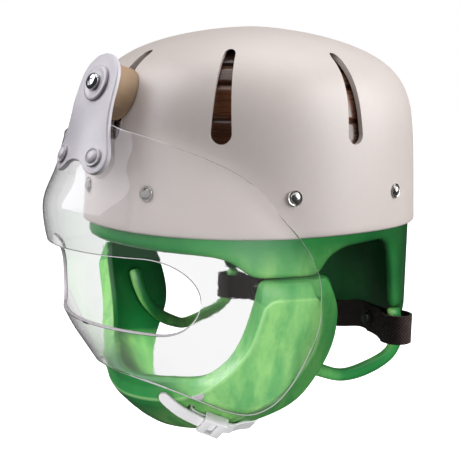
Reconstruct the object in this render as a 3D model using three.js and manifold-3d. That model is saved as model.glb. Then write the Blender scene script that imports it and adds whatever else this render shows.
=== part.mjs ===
// Hard shell helmet with a clear faceguard. Millimetres, +Z up, the front faces -Y
// and the wearer's left is +X. Everything is worked out above the plane of the
// shell's rim and then lowered, so that the origin is where the crown rests on a head.
import * as THREE from 'three';
import { mergeVertices } from 'three/addons/utils/BufferGeometryUtils.js';
import Module from 'manifold-3d';

const wasm = await Module();
wasm.setup();

// Driving dimensions
const SHELL = {
  halfWidth: 101,
  halfLength: 116,
  height: 127.3,
  wall: 3.2,
  planPower: 0.904,
  topPower: 6.85,
  sidePower: 1.52,
  taper: 0.057,
};
const FIT_GAP = 0.6;
const CROWN_WALL = 8;
const CROWN_BOTTOM = 34;
const SEAT_HEIGHT = SHELL.height - SHELL.wall - FIT_GAP - CROWN_WALL;

const SLOT = { bottom: 53.7, top: 108.1, bottomRadius: 6.2, topRadius: 3.5 };
const SLOT_ANGLES = [0, 41.6, 87.5, 133, 180, -133, -87.5, -41.6];

const RIVET = { height: 23.8, headRadius: 4.6, headRise: 2.2, shankRadius: 2, holeRadius: 2.4 };
const RIVET_ANGLES = [16, 66, 105, 155, -16, -66, -105, -155];

const BAND = { outside: -3.8, wall: 8, top: 33 };
// Lower edge of the lining, by angle from the front
const BAND_EDGE = [
  { angle: 0, bottom: -10 },
  { angle: 30, bottom: -10.5 },
  { angle: 40, bottom: -11.5 },
  { angle: 46, bottom: -14.5 },
  { angle: 51, bottom: -21 },
  { angle: 55, bottom: -25 },
  { angle: 76, bottom: -25 },
  { angle: 81, bottom: -13 },
  { angle: 88, bottom: -8 },
  { angle: 102, bottom: -7 },
  { angle: 109, bottom: -13 },
  { angle: 113, bottom: -32 },
  { angle: 116, bottom: -57 },
  { angle: 127, bottom: -57 },
  { angle: 131, bottom: -61 },
  { angle: 138, bottom: -71 },
  { angle: 147, bottom: -77 },
  { angle: 160, bottom: -79 },
  { angle: 180, bottom: -78.5 },
];

// Chin guard, a row for each section from the temple to the middle of the chin
const CHIN = {
  raise: 9.5,
  depth: 6,
  bevel: 9,
  crown: 1.5,
  ease: 2.5,
  edge: 2.2,
  lift: 3,
  squareTo: 3.6,
  bevelFrom: 5.4,
  sectionsPerRow: 2,
};
const CHIN_ROWS = [
  { frontX: 81, frontY: -67, frontZ: -24.4, rearX: 96.5, rearY: -24, rearZ: -24.4 },
  { frontX: 76, frontY: -68, frontZ: -43, rearX: 93, rearY: -13, rearZ: -46.5 },
  { frontX: 68.5, frontY: -70, frontZ: -63, rearX: 86.5, rearY: -12, rearZ: -73 },
  { frontX: 60, frontY: -74.5, frontZ: -77, rearX: 80, rearY: -27, rearZ: -99 },
  { frontX: 49, frontY: -82.5, frontZ: -86.5, rearX: 66, rearY: -41, rearZ: -113 },
  { frontX: 34, frontY: -93, frontZ: -91, rearX: 45, rearY: -53, rearZ: -123.5 },
  { frontX: 17, frontY: -101.5, frontZ: -93, rearX: 22.5, rearY: -62, rearZ: -128.5 },
  { frontX: 0, frontY: -105, frontZ: -93.5, rearX: 0, rearY: -66, rearZ: -130 },
];

const LOOP = { radius: 4.4, steps: 36, sides: 5 };
const LOOP_PATH = [
  { x: 82.7, y: 56.2, z: -57.8 },
  { x: 82.9, y: 56.4, z: -60.8 },
  { x: 84.6, y: 57.2, z: -68 },
  { x: 86, y: 56.6, z: -77 },
  { x: 86.8, y: 49, z: -86.5 },
  { x: 85.3, y: 27, z: -93.5 },
  { x: 81.8, y: 6, z: -95 },
  { x: 76, y: -8, z: -90.5 },
  { x: 68.6, y: -28, z: -81.5 },
  { x: 64.4, y: -41, z: -72.4 },
  { x: 63.5, y: -48.2, z: -64.4 },
  { x: 64.9, y: -54, z: -52 },
  { x: 67.2, y: -55, z: -43 },
];

// Faceguard, half sizes by height
const GUARD = { wall: 2.6, planPower: 0.97, columns: 40, crowding: 0.8, rows: 12 };
const GUARD_LEVELS = [
  { z: 75, front: 124.4, side: 106 },
  { z: 62, front: 129, side: 107 },
  { z: 45, front: 135, side: 108 },
  { z: 34, front: 138.4, side: 109 },
  { z: 24, front: 144.5, side: 110 },
  { z: 13, front: 149, side: 110 },
  { z: -3, front: 147.5, side: 109 },
  { z: -17, front: 143.5, side: 109 },
  { z: -40, front: 141, side: 109 },
  { z: -53, front: 135, side: 108 },
  { z: -66, front: 128.5, side: 105 },
  { z: -80, front: 119, side: 101 },
  { z: -90, front: 112.5, side: 97.5 },
  { z: -100, front: 106, side: 93 },
  { z: -120, front: 100, side: 86 },
];
const GUARD_EDGE = [
  { angle: 0, top: 66, bottom: -89 },
  { angle: 6, top: 65, bottom: -89.3 },
  { angle: 14, top: 61, bottom: -90.5 },
  { angle: 24, top: 57, bottom: -94 },
  { angle: 37, top: 50, bottom: -102 },
  { angle: 44, top: 45, bottom: -107 },
  { angle: 53, top: 36, bottom: -110 },
  { angle: 61, top: 21, bottom: -104 },
  { angle: 66, top: 9, bottom: -92 },
  { angle: 70, top: -2, bottom: -76 },
  { angle: 73, top: -14, bottom: -60 },
  { angle: 74.5, top: -26, bottom: -48 },
];
const WINDOW = { halfWidth: 75, top: -9.5, bottom: -55.5 };

// Tab that carries the faceguard, laid out on its own sloping plane
const TAB = {
  screwY: -124.5,
  screwZ: 87,
  lean: 19.9,
  wall: 3,
  topRadius: 19,
  waist: 20.5,
  lobeRadius: 10,
  rivetSpread: 16.5,
  rivetDrop: 44,
  bendRadius: 84,
  bendStart: 8,
  bendEnd: 36,
};
const PUCK = { radius: 16.5, length: 34, bore: 3 };
const WASHER = { radius: 11, height: 1.6, bore: 3 };
const SCREW = {
  headRadius: 5.2,
  headHeight: 3.4,
  shankRadius: 2.5,
  shankLength: 18.5,
  cross: 1.3,
  crossDepth: 1.6,
};
const TAB_RIVET = { headRadius: 5.6, headRise: 2.4, shankRadius: 2, shankLength: 5, bore: 2.4 };

const WEBBING = { width: 19.5, thickness: 1.7, wrap: 9.6, lap: 36, sag: 9, middleY: 77, steps: 16 };
const SNAP = { radius: 6, height: 2 };

const STRAP = {
  station: 5.1,
  slant: 0.9,
  width: 10,
  thickness: 1.5,
  clear: 0.9,
  slotAt: 0.36,
  tailReach: 0.04,
};
const BUCKLE = { at: 0.74, wall: 2.6, length: 15, clear: 0.9 };

const WHITE = { color: 0xdcd6d4, roughness: 0.35, metalness: 0 };
const BROWN = { color: 0x4a2c1c, roughness: 0.35, metalness: 0 };
const GREEN = { color: 0x1f7a3d, roughness: 0.25, metalness: 0 };
const CLEAR = { color: 0xdfe3e6, roughness: 0.08, metalness: 0 };
const TABWHITE = { color: 0xe2dde6, roughness: 0.4, metalness: 0 };
const TAN = { color: 0xbea07d, roughness: 0.7, metalness: 0 };
const STEEL = { color: 0xc4c4c6, roughness: 0.3, metalness: 1 };
const DARK = { color: 0x1d1816, roughness: 0.85, metalness: 0 };
const BLACK = { color: 0x151515, roughness: 0.4, metalness: 0 };
const STRAPWHITE = { color: 0xebe9ea, roughness: 0.4, metalness: 0 };

const UP = new THREE.Vector3(0, 0, 1);
const radians = THREE.MathUtils.degToRad;

// Smooth reading of one column of a table against another, without overshoot
function readTable(rows, input, output) {
  const sorted = [...rows].sort((one, two) => one[input] - two[input]);
  const at = sorted.map((row) => row[input]);
  const value = sorted.map((row) => row[output]);
  const slope = at.slice(1).map((end, i) => (value[i + 1] - value[i]) / (end - at[i]));
  const bend = at.map((unused, i) => {
    if (i === 0) return slope[0];
    if (i === at.length - 1) return slope[i - 1];
    if (slope[i - 1] * slope[i] <= 0) return 0;
    return (2 * slope[i - 1] * slope[i]) / (slope[i - 1] + slope[i]);
  });
  return (x) => {
    const clamped = THREE.MathUtils.clamp(x, at[0], at[at.length - 1]);
    let i = 0;
    while (i < at.length - 2 && clamped > at[i + 1]) i += 1;
    const step = at[i + 1] - at[i];
    const s = (clamped - at[i]) / step;
    const early = (1 + 2 * s) * (1 - s) ** 2 * value[i] + s * (1 - s) ** 2 * step * bend[i];
    const late = s * s * (3 - 2 * s) * value[i + 1] + s * s * (s - 1) * step * bend[i + 1];
    return early + late;
  };
}

// Closed bodies from points and triangles
function closedBody(points, triangles) {
  let volume = 0;
  for (const [a, b, c] of triangles) {
    volume += points[a].dot(new THREE.Vector3().crossVectors(points[b], points[c]));
  }
  const facing = volume < 0 ? triangles.map(([a, b, c]) => [a, c, b]) : triangles;
  const geometry = new THREE.BufferGeometry().setFromPoints(points);
  geometry.setIndex(facing.flat());
  return geometry;
}

function quad(list, a, b, c, d) {
  list.push([a, b, c], [a, c, d]);
}

// A wall between two grids of points, round or open, with an optional pole on each
function wallBetween(outer, inner, round, poles) {
  const rows = outer.length;
  const columns = outer[0].length;
  const points = [...outer.flat(), ...inner.flat()];
  const triangles = [];
  const out = (i, j) => i * columns + (j % columns);
  const into = (i, j) => rows * columns + out(i, j);
  const spans = round ? columns : columns - 1;
  for (let i = 0; i < rows - 1; i += 1) {
    for (let j = 0; j < spans; j += 1) {
      quad(triangles, out(i, j), out(i, j + 1), out(i + 1, j + 1), out(i + 1, j));
      quad(triangles, into(i, j), into(i + 1, j), into(i + 1, j + 1), into(i, j + 1));
    }
  }
  const last = rows - 1;
  for (let j = 0; j < spans; j += 1) {
    quad(triangles, out(0, j), into(0, j), into(0, j + 1), out(0, j + 1));
    if (!poles) quad(triangles, out(last, j), out(last, j + 1), into(last, j + 1), into(last, j));
  }
  if (poles) {
    const top = points.push(...poles) - 2;
    for (let j = 0; j < spans; j += 1) {
      triangles.push([out(last, j), out(last, j + 1), top]);
      triangles.push([into(last, j + 1), into(last, j), top + 1]);
    }
  }
  if (!round) {
    const end = columns - 1;
    for (let i = 0; i < last; i += 1) {
      quad(triangles, out(i, 0), out(i + 1, 0), into(i + 1, 0), into(i, 0));
      quad(triangles, out(i, end), into(i, end), into(i + 1, end), out(i + 1, end));
    }
  }
  return closedBody(points, triangles);
}

// A solid through rings of points, with a fan of triangles closing each end
function loft(rings) {
  const sides = rings[0].length;
  const points = rings.flat();
  const triangles = [];
  const at = (i, j) => i * sides + (j % sides);
  for (let i = 0; i < rings.length - 1; i += 1) {
    for (let j = 0; j < sides; j += 1) {
      quad(triangles, at(i, j), at(i, j + 1), at(i + 1, j + 1), at(i + 1, j));
    }
  }
  for (const [ring, flip] of [[0, true], [rings.length - 1, false]]) {
    const middle = new THREE.Vector3();
    rings[ring].forEach((point) => middle.add(point));
    const centre = points.push(middle.divideScalar(sides)) - 1;
    for (let j = 0; j < sides; j += 1) {
      const pair = [at(ring, j), at(ring, j + 1)];
      if (flip) pair.reverse();
      triangles.push([pair[0], pair[1], centre]);
    }
  }
  return closedBody(points, triangles);
}

function toSolid(geometry) {
  const bare = geometry.clone();
  bare.deleteAttribute('normal');
  bare.deleteAttribute('uv');
  const merged = mergeVertices(bare, 1e-4);
  const mesh = new wasm.Mesh({
    numProp: 3,
    vertProperties: new Float32Array(merged.attributes.position.array),
    triVerts: new Uint32Array(merged.index.array),
  });
  return new wasm.Manifold(mesh);
}

function toGeometry(solid) {
  const mesh = solid.getMesh();
  const geometry = new THREE.BufferGeometry();
  geometry.setAttribute('position', new THREE.BufferAttribute(mesh.vertProperties, 3));
  geometry.setIndex(new THREE.BufferAttribute(mesh.triVerts, 1));
  return geometry;
}

function cut(geometry, tools) {
  let solid = toSolid(geometry);
  for (const tool of tools) solid = solid.subtract(toSolid(tool));
  return toGeometry(solid);
}

function join(geometry, others) {
  let solid = toSolid(geometry);
  for (const other of others) solid = solid.add(toSolid(other));
  return toGeometry(solid);
}

// Places a geometry drawn with its own axes onto a point and three directions
function place(geometry, point, xAxis, yAxis, zAxis) {
  const frame = new THREE.Matrix4().makeBasis(xAxis, yAxis, zAxis).setPosition(point);
  return geometry.applyMatrix4(frame);
}

function standOn(geometry, point, direction) {
  const turn = new THREE.Quaternion().setFromUnitVectors(new THREE.Vector3(0, 1, 0), direction);
  return geometry.applyQuaternion(turn).translate(point.x, point.y, point.z);
}

function turned(profile, sides) {
  const ring = profile.map(([radius, height]) => new THREE.Vector2(radius, height));
  return new THREE.LatheGeometry(ring, sides);
}

function mirrored(geometry) {
  const copy = geometry.clone().scale(-1, 1, 1);
  const index = copy.index.array;
  for (let i = 0; i < index.length; i += 3) {
    [index[i + 1], index[i + 2]] = [index[i + 2], index[i + 1]];
  }
  return copy;
}

// Shell surface, by angle from the front and height above the rim
function planPoint(angle, halfWidth, halfLength, power) {
  const across = Math.sin(angle);
  const ahead = Math.cos(angle);
  const x = halfWidth * Math.sign(across) * Math.abs(across) ** power;
  const y = -halfLength * Math.sign(ahead) * Math.abs(ahead) ** power;
  return new THREE.Vector2(x, y);
}

function shellScale(share) {
  const round = (1 - share ** SHELL.topPower) ** (1 / SHELL.sidePower);
  return round * (1 - SHELL.taper * share);
}

function shellPoint(angle, z, grow) {
  const share = THREE.MathUtils.clamp(z / (SHELL.height + grow), 0, 1);
  const plan = planPoint(angle, SHELL.halfWidth + grow, SHELL.halfLength + grow, SHELL.planPower);
  plan.multiplyScalar(shellScale(share));
  return new THREE.Vector3(plan.x, plan.y, z);
}

function shellNormal(angle, z) {
  const step = 0.01;
  const along = shellPoint(angle + step, z, 0).sub(shellPoint(angle - step, z, 0));
  const rise = shellPoint(angle, z + 1, 0).sub(shellPoint(angle, z - 1, 0));
  return along.cross(rise).normalize();
}

function domeGrid(grow, bottom, columns, lowRows, highRows) {
  const height = SHELL.height + grow;
  const shoulder = 0.74 * height;
  const shoulderRadius = (1 - 0.74 ** SHELL.topPower) ** (1 / SHELL.sidePower);
  const levels = [];
  for (let i = 0; i < lowRows; i += 1) levels.push(bottom + ((shoulder - bottom) * i) / lowRows);
  for (let i = 0; i < highRows; i += 1) {
    const radius = shoulderRadius * (1 - i / highRows);
    levels.push(height * (1 - radius ** SHELL.sidePower) ** (1 / SHELL.topPower));
  }
  return levels.map((z) => {
    const row = [];
    for (let j = 0; j < columns; j += 1) row.push(shellPoint((2 * Math.PI * j) / columns, z, grow));
    return row;
  });
}

function dome(outside, inside, bottom, columns, lowRows, highRows) {
  const outer = domeGrid(outside, bottom, columns, lowRows, highRows);
  const inner = domeGrid(inside, bottom, columns, lowRows, highRows);
  const poles = [outside, inside].map((grow) => new THREE.Vector3(0, 0, SHELL.height + grow));
  return wallBetween(outer, inner, true, poles);
}

function slotCutter(degrees) {
  const low = SLOT.bottom + SLOT.bottomRadius;
  const high = SLOT.top - SLOT.topRadius;
  const outline = new THREE.Shape();
  outline.absarc(0, low, SLOT.bottomRadius, Math.PI, 2 * Math.PI, false);
  outline.absarc(0, high, SLOT.topRadius, 0, Math.PI, false);
  const block = new THREE.ExtrudeGeometry(outline, { depth: 70, bevelEnabled: false, curveSegments: 4 });
  const angle = radians(degrees);
  const facing = shellNormal(angle, 10).setZ(0).normalize();
  const start = shellPoint(angle, 10, 0).setZ(0).addScaledVector(facing, -60);
  return place(block, start, UP.clone().cross(facing), UP, facing);
}

function rivetPlace(degrees) {
  const angle = radians(degrees);
  return { point: shellPoint(angle, RIVET.height, 0), facing: shellNormal(angle, RIVET.height) };
}

function rivetHole(degrees) {
  const { point, facing } = rivetPlace(degrees);
  return standOn(new THREE.CylinderGeometry(RIVET.holeRadius, RIVET.holeRadius, 12, 8), point, facing);
}

function buttonHead(radius, rise, shankRadius, shankLength, lift) {
  return turned([
    [0, -shankLength],
    [shankRadius, -shankLength],
    [shankRadius, lift],
    [radius, lift],
    [radius, lift + 0.45 * rise],
    [0.6 * radius, lift + 0.8 * rise],
    [0, lift + rise],
  ], 12);
}

function shellRivet(degrees) {
  const { point, facing } = rivetPlace(degrees);
  const head = buttonHead(RIVET.headRadius, RIVET.headRise, RIVET.shankRadius, SHELL.wall - 0.2, 0.45);
  return standOn(head, point, facing);
}

// Green lining below and behind the rim
function headBand() {
  const edge = readTable(BAND_EDGE, 'angle', 'bottom');
  const columns = 90;
  const shares = [0, 0.5, 1];
  const grid = (grow) => {
    const rows = [BAND.top, 0].map((z) => (angle) => shellPoint(angle, z, grow));
    shares.slice(1).forEach((share) => {
      rows.push((angle, bottom) => shellPoint(angle, bottom * share, grow));
    });
    return rows.map((row) => {
      const line = [];
      for (let j = 0; j < columns; j += 1) {
        const degrees = (360 * j) / columns;
        const fromFront = degrees > 180 ? 360 - degrees : degrees;
        line.push(row(radians(degrees), edge(fromFront)));
      }
      return line;
    });
  };
  return wallBetween(grid(BAND.outside), grid(BAND.outside - BAND.wall), true);
}

// Chin guard: sections across a strip that runs between a front edge and a rear edge
function chinCurve(name) {
  const mirror = CHIN_ROWS.slice(0, -1).map((row) => ({
    ...row,
    frontX: -row.frontX,
    rearX: -row.rearX,
  }));
  const rows = [...CHIN_ROWS, ...mirror.reverse()];
  const points = rows.map((row) => new THREE.Vector3(row[`${name}X`], row[`${name}Y`], row[`${name}Z`]));
  return new THREE.CatmullRomCurve3(points, false, 'catmullrom', 0.5);
}

const chinFront = chinCurve('front');
const chinRear = chinCurve('rear');
const CHIN_SPANS = 2 * (CHIN_ROWS.length - 1);

function chinSection(station) {
  const share = THREE.MathUtils.clamp(station / CHIN_SPANS, 0, 1);
  const front = chinFront.getPoint(share);
  const rear = chinRear.getPoint(share);
  const step = 0.004;
  const before = Math.max(share - step, 0);
  const after = Math.min(share + step, 1);
  const along = chinFront.getPoint(after).add(chinRear.getPoint(after));
  along.sub(chinFront.getPoint(before)).sub(chinRear.getPoint(before)).normalize();
  const across = rear.clone().sub(front);
  const width = across.length();
  across.normalize();
  const facing = along.clone().cross(across).normalize();
  const point = (w, n) => front.clone().addScaledVector(across, w).addScaledVector(facing, n);
  return { width, across, along, facing, point };
}

// The front wall is square at the cheeks and bevelled under the chin
function chinOutline(width, grow, station) {
  const fromEnd = Math.min(station, CHIN_SPANS - station);
  const square = 1 - THREE.MathUtils.smoothstep(fromEnd, CHIN.squareTo, CHIN.bevelFrom);
  const low = -CHIN.depth - grow;
  const frontLow = low + CHIN.lift * square;
  const high = CHIN.raise + grow;
  const start = -grow;
  const end = width + grow;
  const bevel = CHIN.bevel + (CHIN.edge - CHIN.bevel) * square;
  return [
    [start + CHIN.ease, frontLow],
    [end - CHIN.ease, low],
    [end, low + CHIN.ease],
    [end, 0],
    [end - 0.45 * CHIN.bevel, 0.62 * high],
    [end - CHIN.bevel, high],
    [0.72 * width, high + 0.8 * CHIN.crown],
    [0.5 * width, high + CHIN.crown],
    [0.28 * width, high + 0.8 * CHIN.crown],
    [start + bevel, high + 0.5 * CHIN.crown * square],
    [start + 0.45 * bevel, 0.62 * high],
    [start, 0.1],
    [start, frontLow + CHIN.ease],
  ];
}

function chinGuard(grow) {
  const rings = [];
  const count = CHIN_SPANS * CHIN.sectionsPerRow;
  for (let i = 0; i <= count; i += 1) {
    const section = chinSection(i / CHIN.sectionsPerRow);
    const reach = i === 0 ? -grow : i === count ? grow : 0;
    const outline = chinOutline(section.width, grow, i / CHIN.sectionsPerRow);
    const ring = outline.map(([w, n]) => section.point(w, n));
    rings.push(ring.map((point) => point.addScaledVector(section.along, reach)));
  }
  return loft(rings);
}

// Round loops below the ear openings
function earLoop() {
  const path = new THREE.CatmullRomCurve3(LOOP_PATH.map((row) => new THREE.Vector3(row.x, row.y, row.z)));
  const ring = new THREE.Shape();
  ring.absarc(0, 0, LOOP.radius, 0, 2 * Math.PI, false);
  const options = { steps: LOOP.steps, extrudePath: path, curveSegments: LOOP.sides, bevelEnabled: false };
  return new THREE.ExtrudeGeometry(ring, options);
}

// Clear faceguard
const guardFront = readTable(GUARD_LEVELS, 'z', 'front');
const guardSide = readTable(GUARD_LEVELS, 'z', 'side');

// The sheet is flat behind the tab's screw and rounds out below it, as the tab does
function tabBend(v) {
  return THREE.MathUtils.smoothstep(-v, TAB.bendStart, TAB.bendEnd);
}

function guardPoint(angle, z, inset) {
  const front = guardFront(z) - inset;
  const plan = planPoint(angle, guardSide(z) - inset, front, GUARD.planPower);
  const round = tabBend((z - TAB.screwZ) / Math.cos(radians(TAB.lean)));
  return new THREE.Vector3(plan.x, -front + (plan.y + front) * round, z);
}

function guardSheet() {
  const topEdge = readTable(GUARD_EDGE, 'angle', 'top');
  const bottomEdge = readTable(GUARD_EDGE, 'angle', 'bottom');
  const widest = GUARD_EDGE[GUARD_EDGE.length - 1].angle;
  const grid = (inset) => {
    const lines = [];
    for (let i = 0; i <= GUARD.rows; i += 1) {
      const line = [];
      for (let j = 0; j <= GUARD.columns; j += 1) {
        const share = (2 * j) / GUARD.columns - 1;
        const degrees = widest * Math.sign(share) * Math.abs(share) ** GUARD.crowding;
        const top = topEdge(Math.abs(degrees));
        const bottom = bottomEdge(Math.abs(degrees));
        const z = bottom + ((top - bottom) * i) / GUARD.rows;
        line.push(guardPoint(radians(degrees), z, inset));
      }
      lines.push(line);
    }
    return lines;
  };
  return wallBetween(grid(0), grid(GUARD.wall), false);
}

function windowCutter() {
  const radius = (WINDOW.top - WINDOW.bottom) / 2;
  const middle = (WINDOW.top + WINDOW.bottom) / 2;
  const end = WINDOW.halfWidth - radius;
  const outline = new THREE.Shape();
  outline.absarc(end, middle, radius, -Math.PI / 2, Math.PI / 2, false);
  outline.absarc(-end, middle, radius, Math.PI / 2, (3 * Math.PI) / 2, false);
  const block = new THREE.ExtrudeGeometry(outline, { depth: 120, bevelEnabled: false, curveSegments: 12 });
  const start = new THREE.Vector3(0, -60, 0);
  return place(block, start, new THREE.Vector3(1, 0, 0), UP, new THREE.Vector3(0, -1, 0));
}

// Tab and its fastenings, on a plane that leans out toward the bottom
const tabOut = new THREE.Vector3(0, -Math.cos(radians(TAB.lean)), Math.sin(radians(TAB.lean)));
const tabUp = new THREE.Vector3(0, Math.sin(radians(TAB.lean)), Math.cos(radians(TAB.lean)));
const tabRight = new THREE.Vector3(1, 0, 0);
const tabScrew = new THREE.Vector3(0, TAB.screwY, TAB.screwZ);

function tabPoint(u, v, n) {
  const bend = (tabBend(v) * u * u) / (2 * TAB.bendRadius);
  const point = tabScrew.clone().addScaledVector(tabRight, u).addScaledVector(tabUp, v);
  return point.addScaledVector(tabOut, n - bend);
}

function tabHalfWidth(v) {
  const lobe = v + TAB.rivetDrop;
  const inLobe = Math.abs(lobe) < TAB.lobeRadius;
  const bulge = inLobe ? TAB.rivetSpread + Math.sqrt(TAB.lobeRadius ** 2 - lobe ** 2) : 0;
  if (v > 0) return Math.sqrt(Math.max(TAB.topRadius ** 2 - v * v, 0));
  const flank = TAB.topRadius + (TAB.waist - TAB.topRadius) * Math.min(-v / 20, 1);
  const flare = THREE.MathUtils.smoothstep(-v, 22, TAB.rivetDrop - 3);
  const side = flank + (TAB.rivetSpread + TAB.lobeRadius - flank) * flare;
  return v > -TAB.rivetDrop ? side : bulge;
}

function tabSheet() {
  const topV = TAB.topRadius - 0.05;
  const lowV = -TAB.rivetDrop - TAB.lobeRadius + 0.3;
  const rows = 20;
  const columns = 8;
  const grid = (n) => {
    const lines = [];
    for (let i = 0; i <= rows; i += 1) {
      const ease = 0.5 - 0.5 * Math.cos((Math.PI * i) / rows);
      const v = lowV + (topV - lowV) * ease;
      const half = tabHalfWidth(v);
      const line = [];
      for (let j = 0; j <= columns; j += 1) line.push(tabPoint(half * ((2 * j) / columns - 1), v, n));
      lines.push(line);
    }
    return lines;
  };
  return wallBetween(grid(0), grid(-TAB.wall), false);
}

function notchCutter() {
  const outline = new THREE.Shape();
  outline.absarc(0, -TAB.rivetDrop - TAB.lobeRadius - 4, 10.5, 0, 2 * Math.PI, false);
  const block = new THREE.ExtrudeGeometry(outline, { depth: 24, bevelEnabled: false, curveSegments: 14 });
  return place(block, tabScrew.clone().addScaledVector(tabOut, -16), tabRight, tabUp, tabOut);
}

function boreAt(point, facing, radius) {
  return standOn(new THREE.CylinderGeometry(radius, radius, 60, 16), point, facing);
}

const tabRivetPoint = (side) => tabPoint(side * TAB.rivetSpread, -TAB.rivetDrop, 0);

function tabRivetFacing(side) {
  const lean = TAB.rivetSpread / TAB.bendRadius;
  return tabOut.clone().addScaledVector(tabRight, side * lean).normalize();
}

function tabRivet(side) {
  const { headRadius, headRise, shankRadius, shankLength } = TAB_RIVET;
  const head = buttonHead(headRadius, headRise, shankRadius, shankLength, 0.35);
  return standOn(head, tabRivetPoint(side), tabRivetFacing(side));
}

function spacerPuck() {
  const body = new THREE.CylinderGeometry(PUCK.radius, PUCK.radius, PUCK.length, 32);
  const middle = tabScrew.clone().addScaledVector(tabOut, -TAB.wall - 0.3 - PUCK.length / 2);
  const solidShell = loft([...domeGrid(0.5, -1, 44, 4, 6)]);
  return cut(standOn(body, middle, tabOut), [solidShell, boreAt(tabScrew, tabOut, PUCK.bore)]);
}

function tabScrewBody() {
  const lift = WASHER.height + 0.7;
  const body = turned([
    [0, -SCREW.shankLength],
    [SCREW.shankRadius, -SCREW.shankLength],
    [SCREW.shankRadius, lift],
    [SCREW.headRadius, lift],
    [SCREW.headRadius, lift + 0.4 * SCREW.headHeight],
    [0.8 * SCREW.headRadius, lift + 0.82 * SCREW.headHeight],
    [0.4 * SCREW.headRadius, lift + SCREW.headHeight],
    [0, lift + SCREW.headHeight],
  ], 18);
  const top = lift + SCREW.headHeight;
  const arm = 1.24 * SCREW.headRadius;
  const slots = [[arm, SCREW.cross], [SCREW.cross, arm]].map(([x, z]) => {
    return new THREE.BoxGeometry(x, 2 * SCREW.crossDepth, z).translate(0, top, 0);
  });
  return standOn(cut(body, slots), tabScrew, tabOut);
}

function tabWasher() {
  const ring = turned([
    [WASHER.bore, 0.35],
    [WASHER.radius, 0.35],
    [WASHER.radius, 0.35 + 0.7 * WASHER.height],
    [WASHER.radius - 1.2, 0.35 + WASHER.height],
    [WASHER.bore, 0.35 + WASHER.height],
    [WASHER.bore, 0.35],
  ], 28);
  return standOn(ring, tabScrew, tabOut);
}

// Flat straps that follow a path, with their width along a given direction
function ribbon(path, widthAxis, width, thickness) {
  const rings = path.map((point, i) => {
    const before = path[Math.max(i - 1, 0)];
    const after = path[Math.min(i + 1, path.length - 1)];
    const along = after.clone().sub(before).normalize();
    const side = widthAxis.clone().addScaledVector(along, -widthAxis.dot(along)).normalize();
    const facing = along.clone().cross(side);
    const corners = [[1, 1], [1, -1], [-1, -1], [-1, 1]];
    return corners.map(([a, b]) => {
      const corner = point.clone().addScaledVector(side, (a * width) / 2);
      return corner.addScaledVector(facing, (b * thickness) / 2);
    });
  });
  return loft(rings);
}

const napePost = new THREE.Vector3(LOOP_PATH[2].x + 0.5, LOOP_PATH[2].y - 0.6, -71);
const napeAway = new THREE.Vector3(-0.965, 0.262, 0).normalize();
const napeFront = new THREE.Vector3(-napeAway.y, napeAway.x, 0);

function napeEnd(away, forward) {
  return napePost.clone().addScaledVector(napeAway, away).addScaledVector(napeFront, forward);
}

function napeStrap() {
  const half = [];
  const layer = WEBBING.thickness + 0.7;
  half.push(napeEnd(WEBBING.lap, layer));
  half.push(napeEnd(0.66 * WEBBING.lap, layer));
  half.push(napeEnd(0.42 * WEBBING.lap, layer + 1.5));
  for (let i = 0; i <= 12; i += 1) {
    const turn = radians(50 + (260 * i) / 12);
    half.push(napeEnd(WEBBING.wrap * Math.cos(turn), WEBBING.wrap * Math.sin(turn)));
  }
  half.push(napeEnd(0.42 * WEBBING.lap, -1.5));
  half.push(napeEnd(0.66 * WEBBING.lap, 0));
  const lapEnd = napeEnd(WEBBING.lap, 0);
  const spanStart = lapEnd.x;
  for (let i = 0; i < WEBBING.steps; i += 1) {
    const share = i / WEBBING.steps;
    const x = spanStart * (1 - share);
    const droop = 1 - (x / spanStart) ** 2;
    const y = lapEnd.y + (WEBBING.middleY - lapEnd.y) * droop;
    half.push(new THREE.Vector3(x, y, lapEnd.z - WEBBING.sag * droop * droop));
  }
  const other = half.map((point) => new THREE.Vector3(-point.x, point.y, point.z)).reverse();
  const middle = new THREE.Vector3(0, WEBBING.middleY, lapEnd.z - WEBBING.sag);
  return ribbon([...half, middle, ...other], UP, WEBBING.width, WEBBING.thickness);
}

function strapSnap() {
  const lift = 1.5 * WEBBING.thickness + 1.05;
  const disc = turned([
    [0, 0],
    [SNAP.radius, 0],
    [SNAP.radius, 0.5 * SNAP.height],
    [0.75 * SNAP.radius, SNAP.height],
    [0, SNAP.height],
  ], 18);
  return standOn(disc, napeEnd(0.8 * WEBBING.lap, lift), napeFront);
}

// White strap laid slantwise round the lower edge of the chin guard, with its free tail
const strapLevel = CHIN.raise + CHIN.crown + STRAP.clear + STRAP.thickness / 2;
const strapInner = -CHIN.depth - STRAP.clear - STRAP.thickness / 2;

// Across the guard from its front edge, as a share of its width, and out from it
function strapPlace(share, out, past) {
  const station = STRAP.station - (share - STRAP.slotAt) * STRAP.slant;
  const section = chinSection(station);
  const point = section.point(share * section.width + past, out);
  return { point, facing: section.facing };
}

function strapRun(knots) {
  const places = knots.map(([share, out, past]) => strapPlace(share, out, past || 0));
  const path = new THREE.CatmullRomCurve3(places.map((one) => one.point), false, 'centripetal');
  const facing = strapPlace(0.65, 0, 0).facing;
  const points = path.getPoints(4 * (knots.length - 1));
  const heading = strapPlace(0.8, 0, 0).point.sub(strapPlace(0.5, 0, 0).point).normalize();
  return { points, side: facing.clone().cross(heading).normalize() };
}

function strapRibbon(knots) {
  const run = strapRun(knots);
  return ribbon(run.points, run.side, STRAP.width, STRAP.thickness);
}

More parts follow.
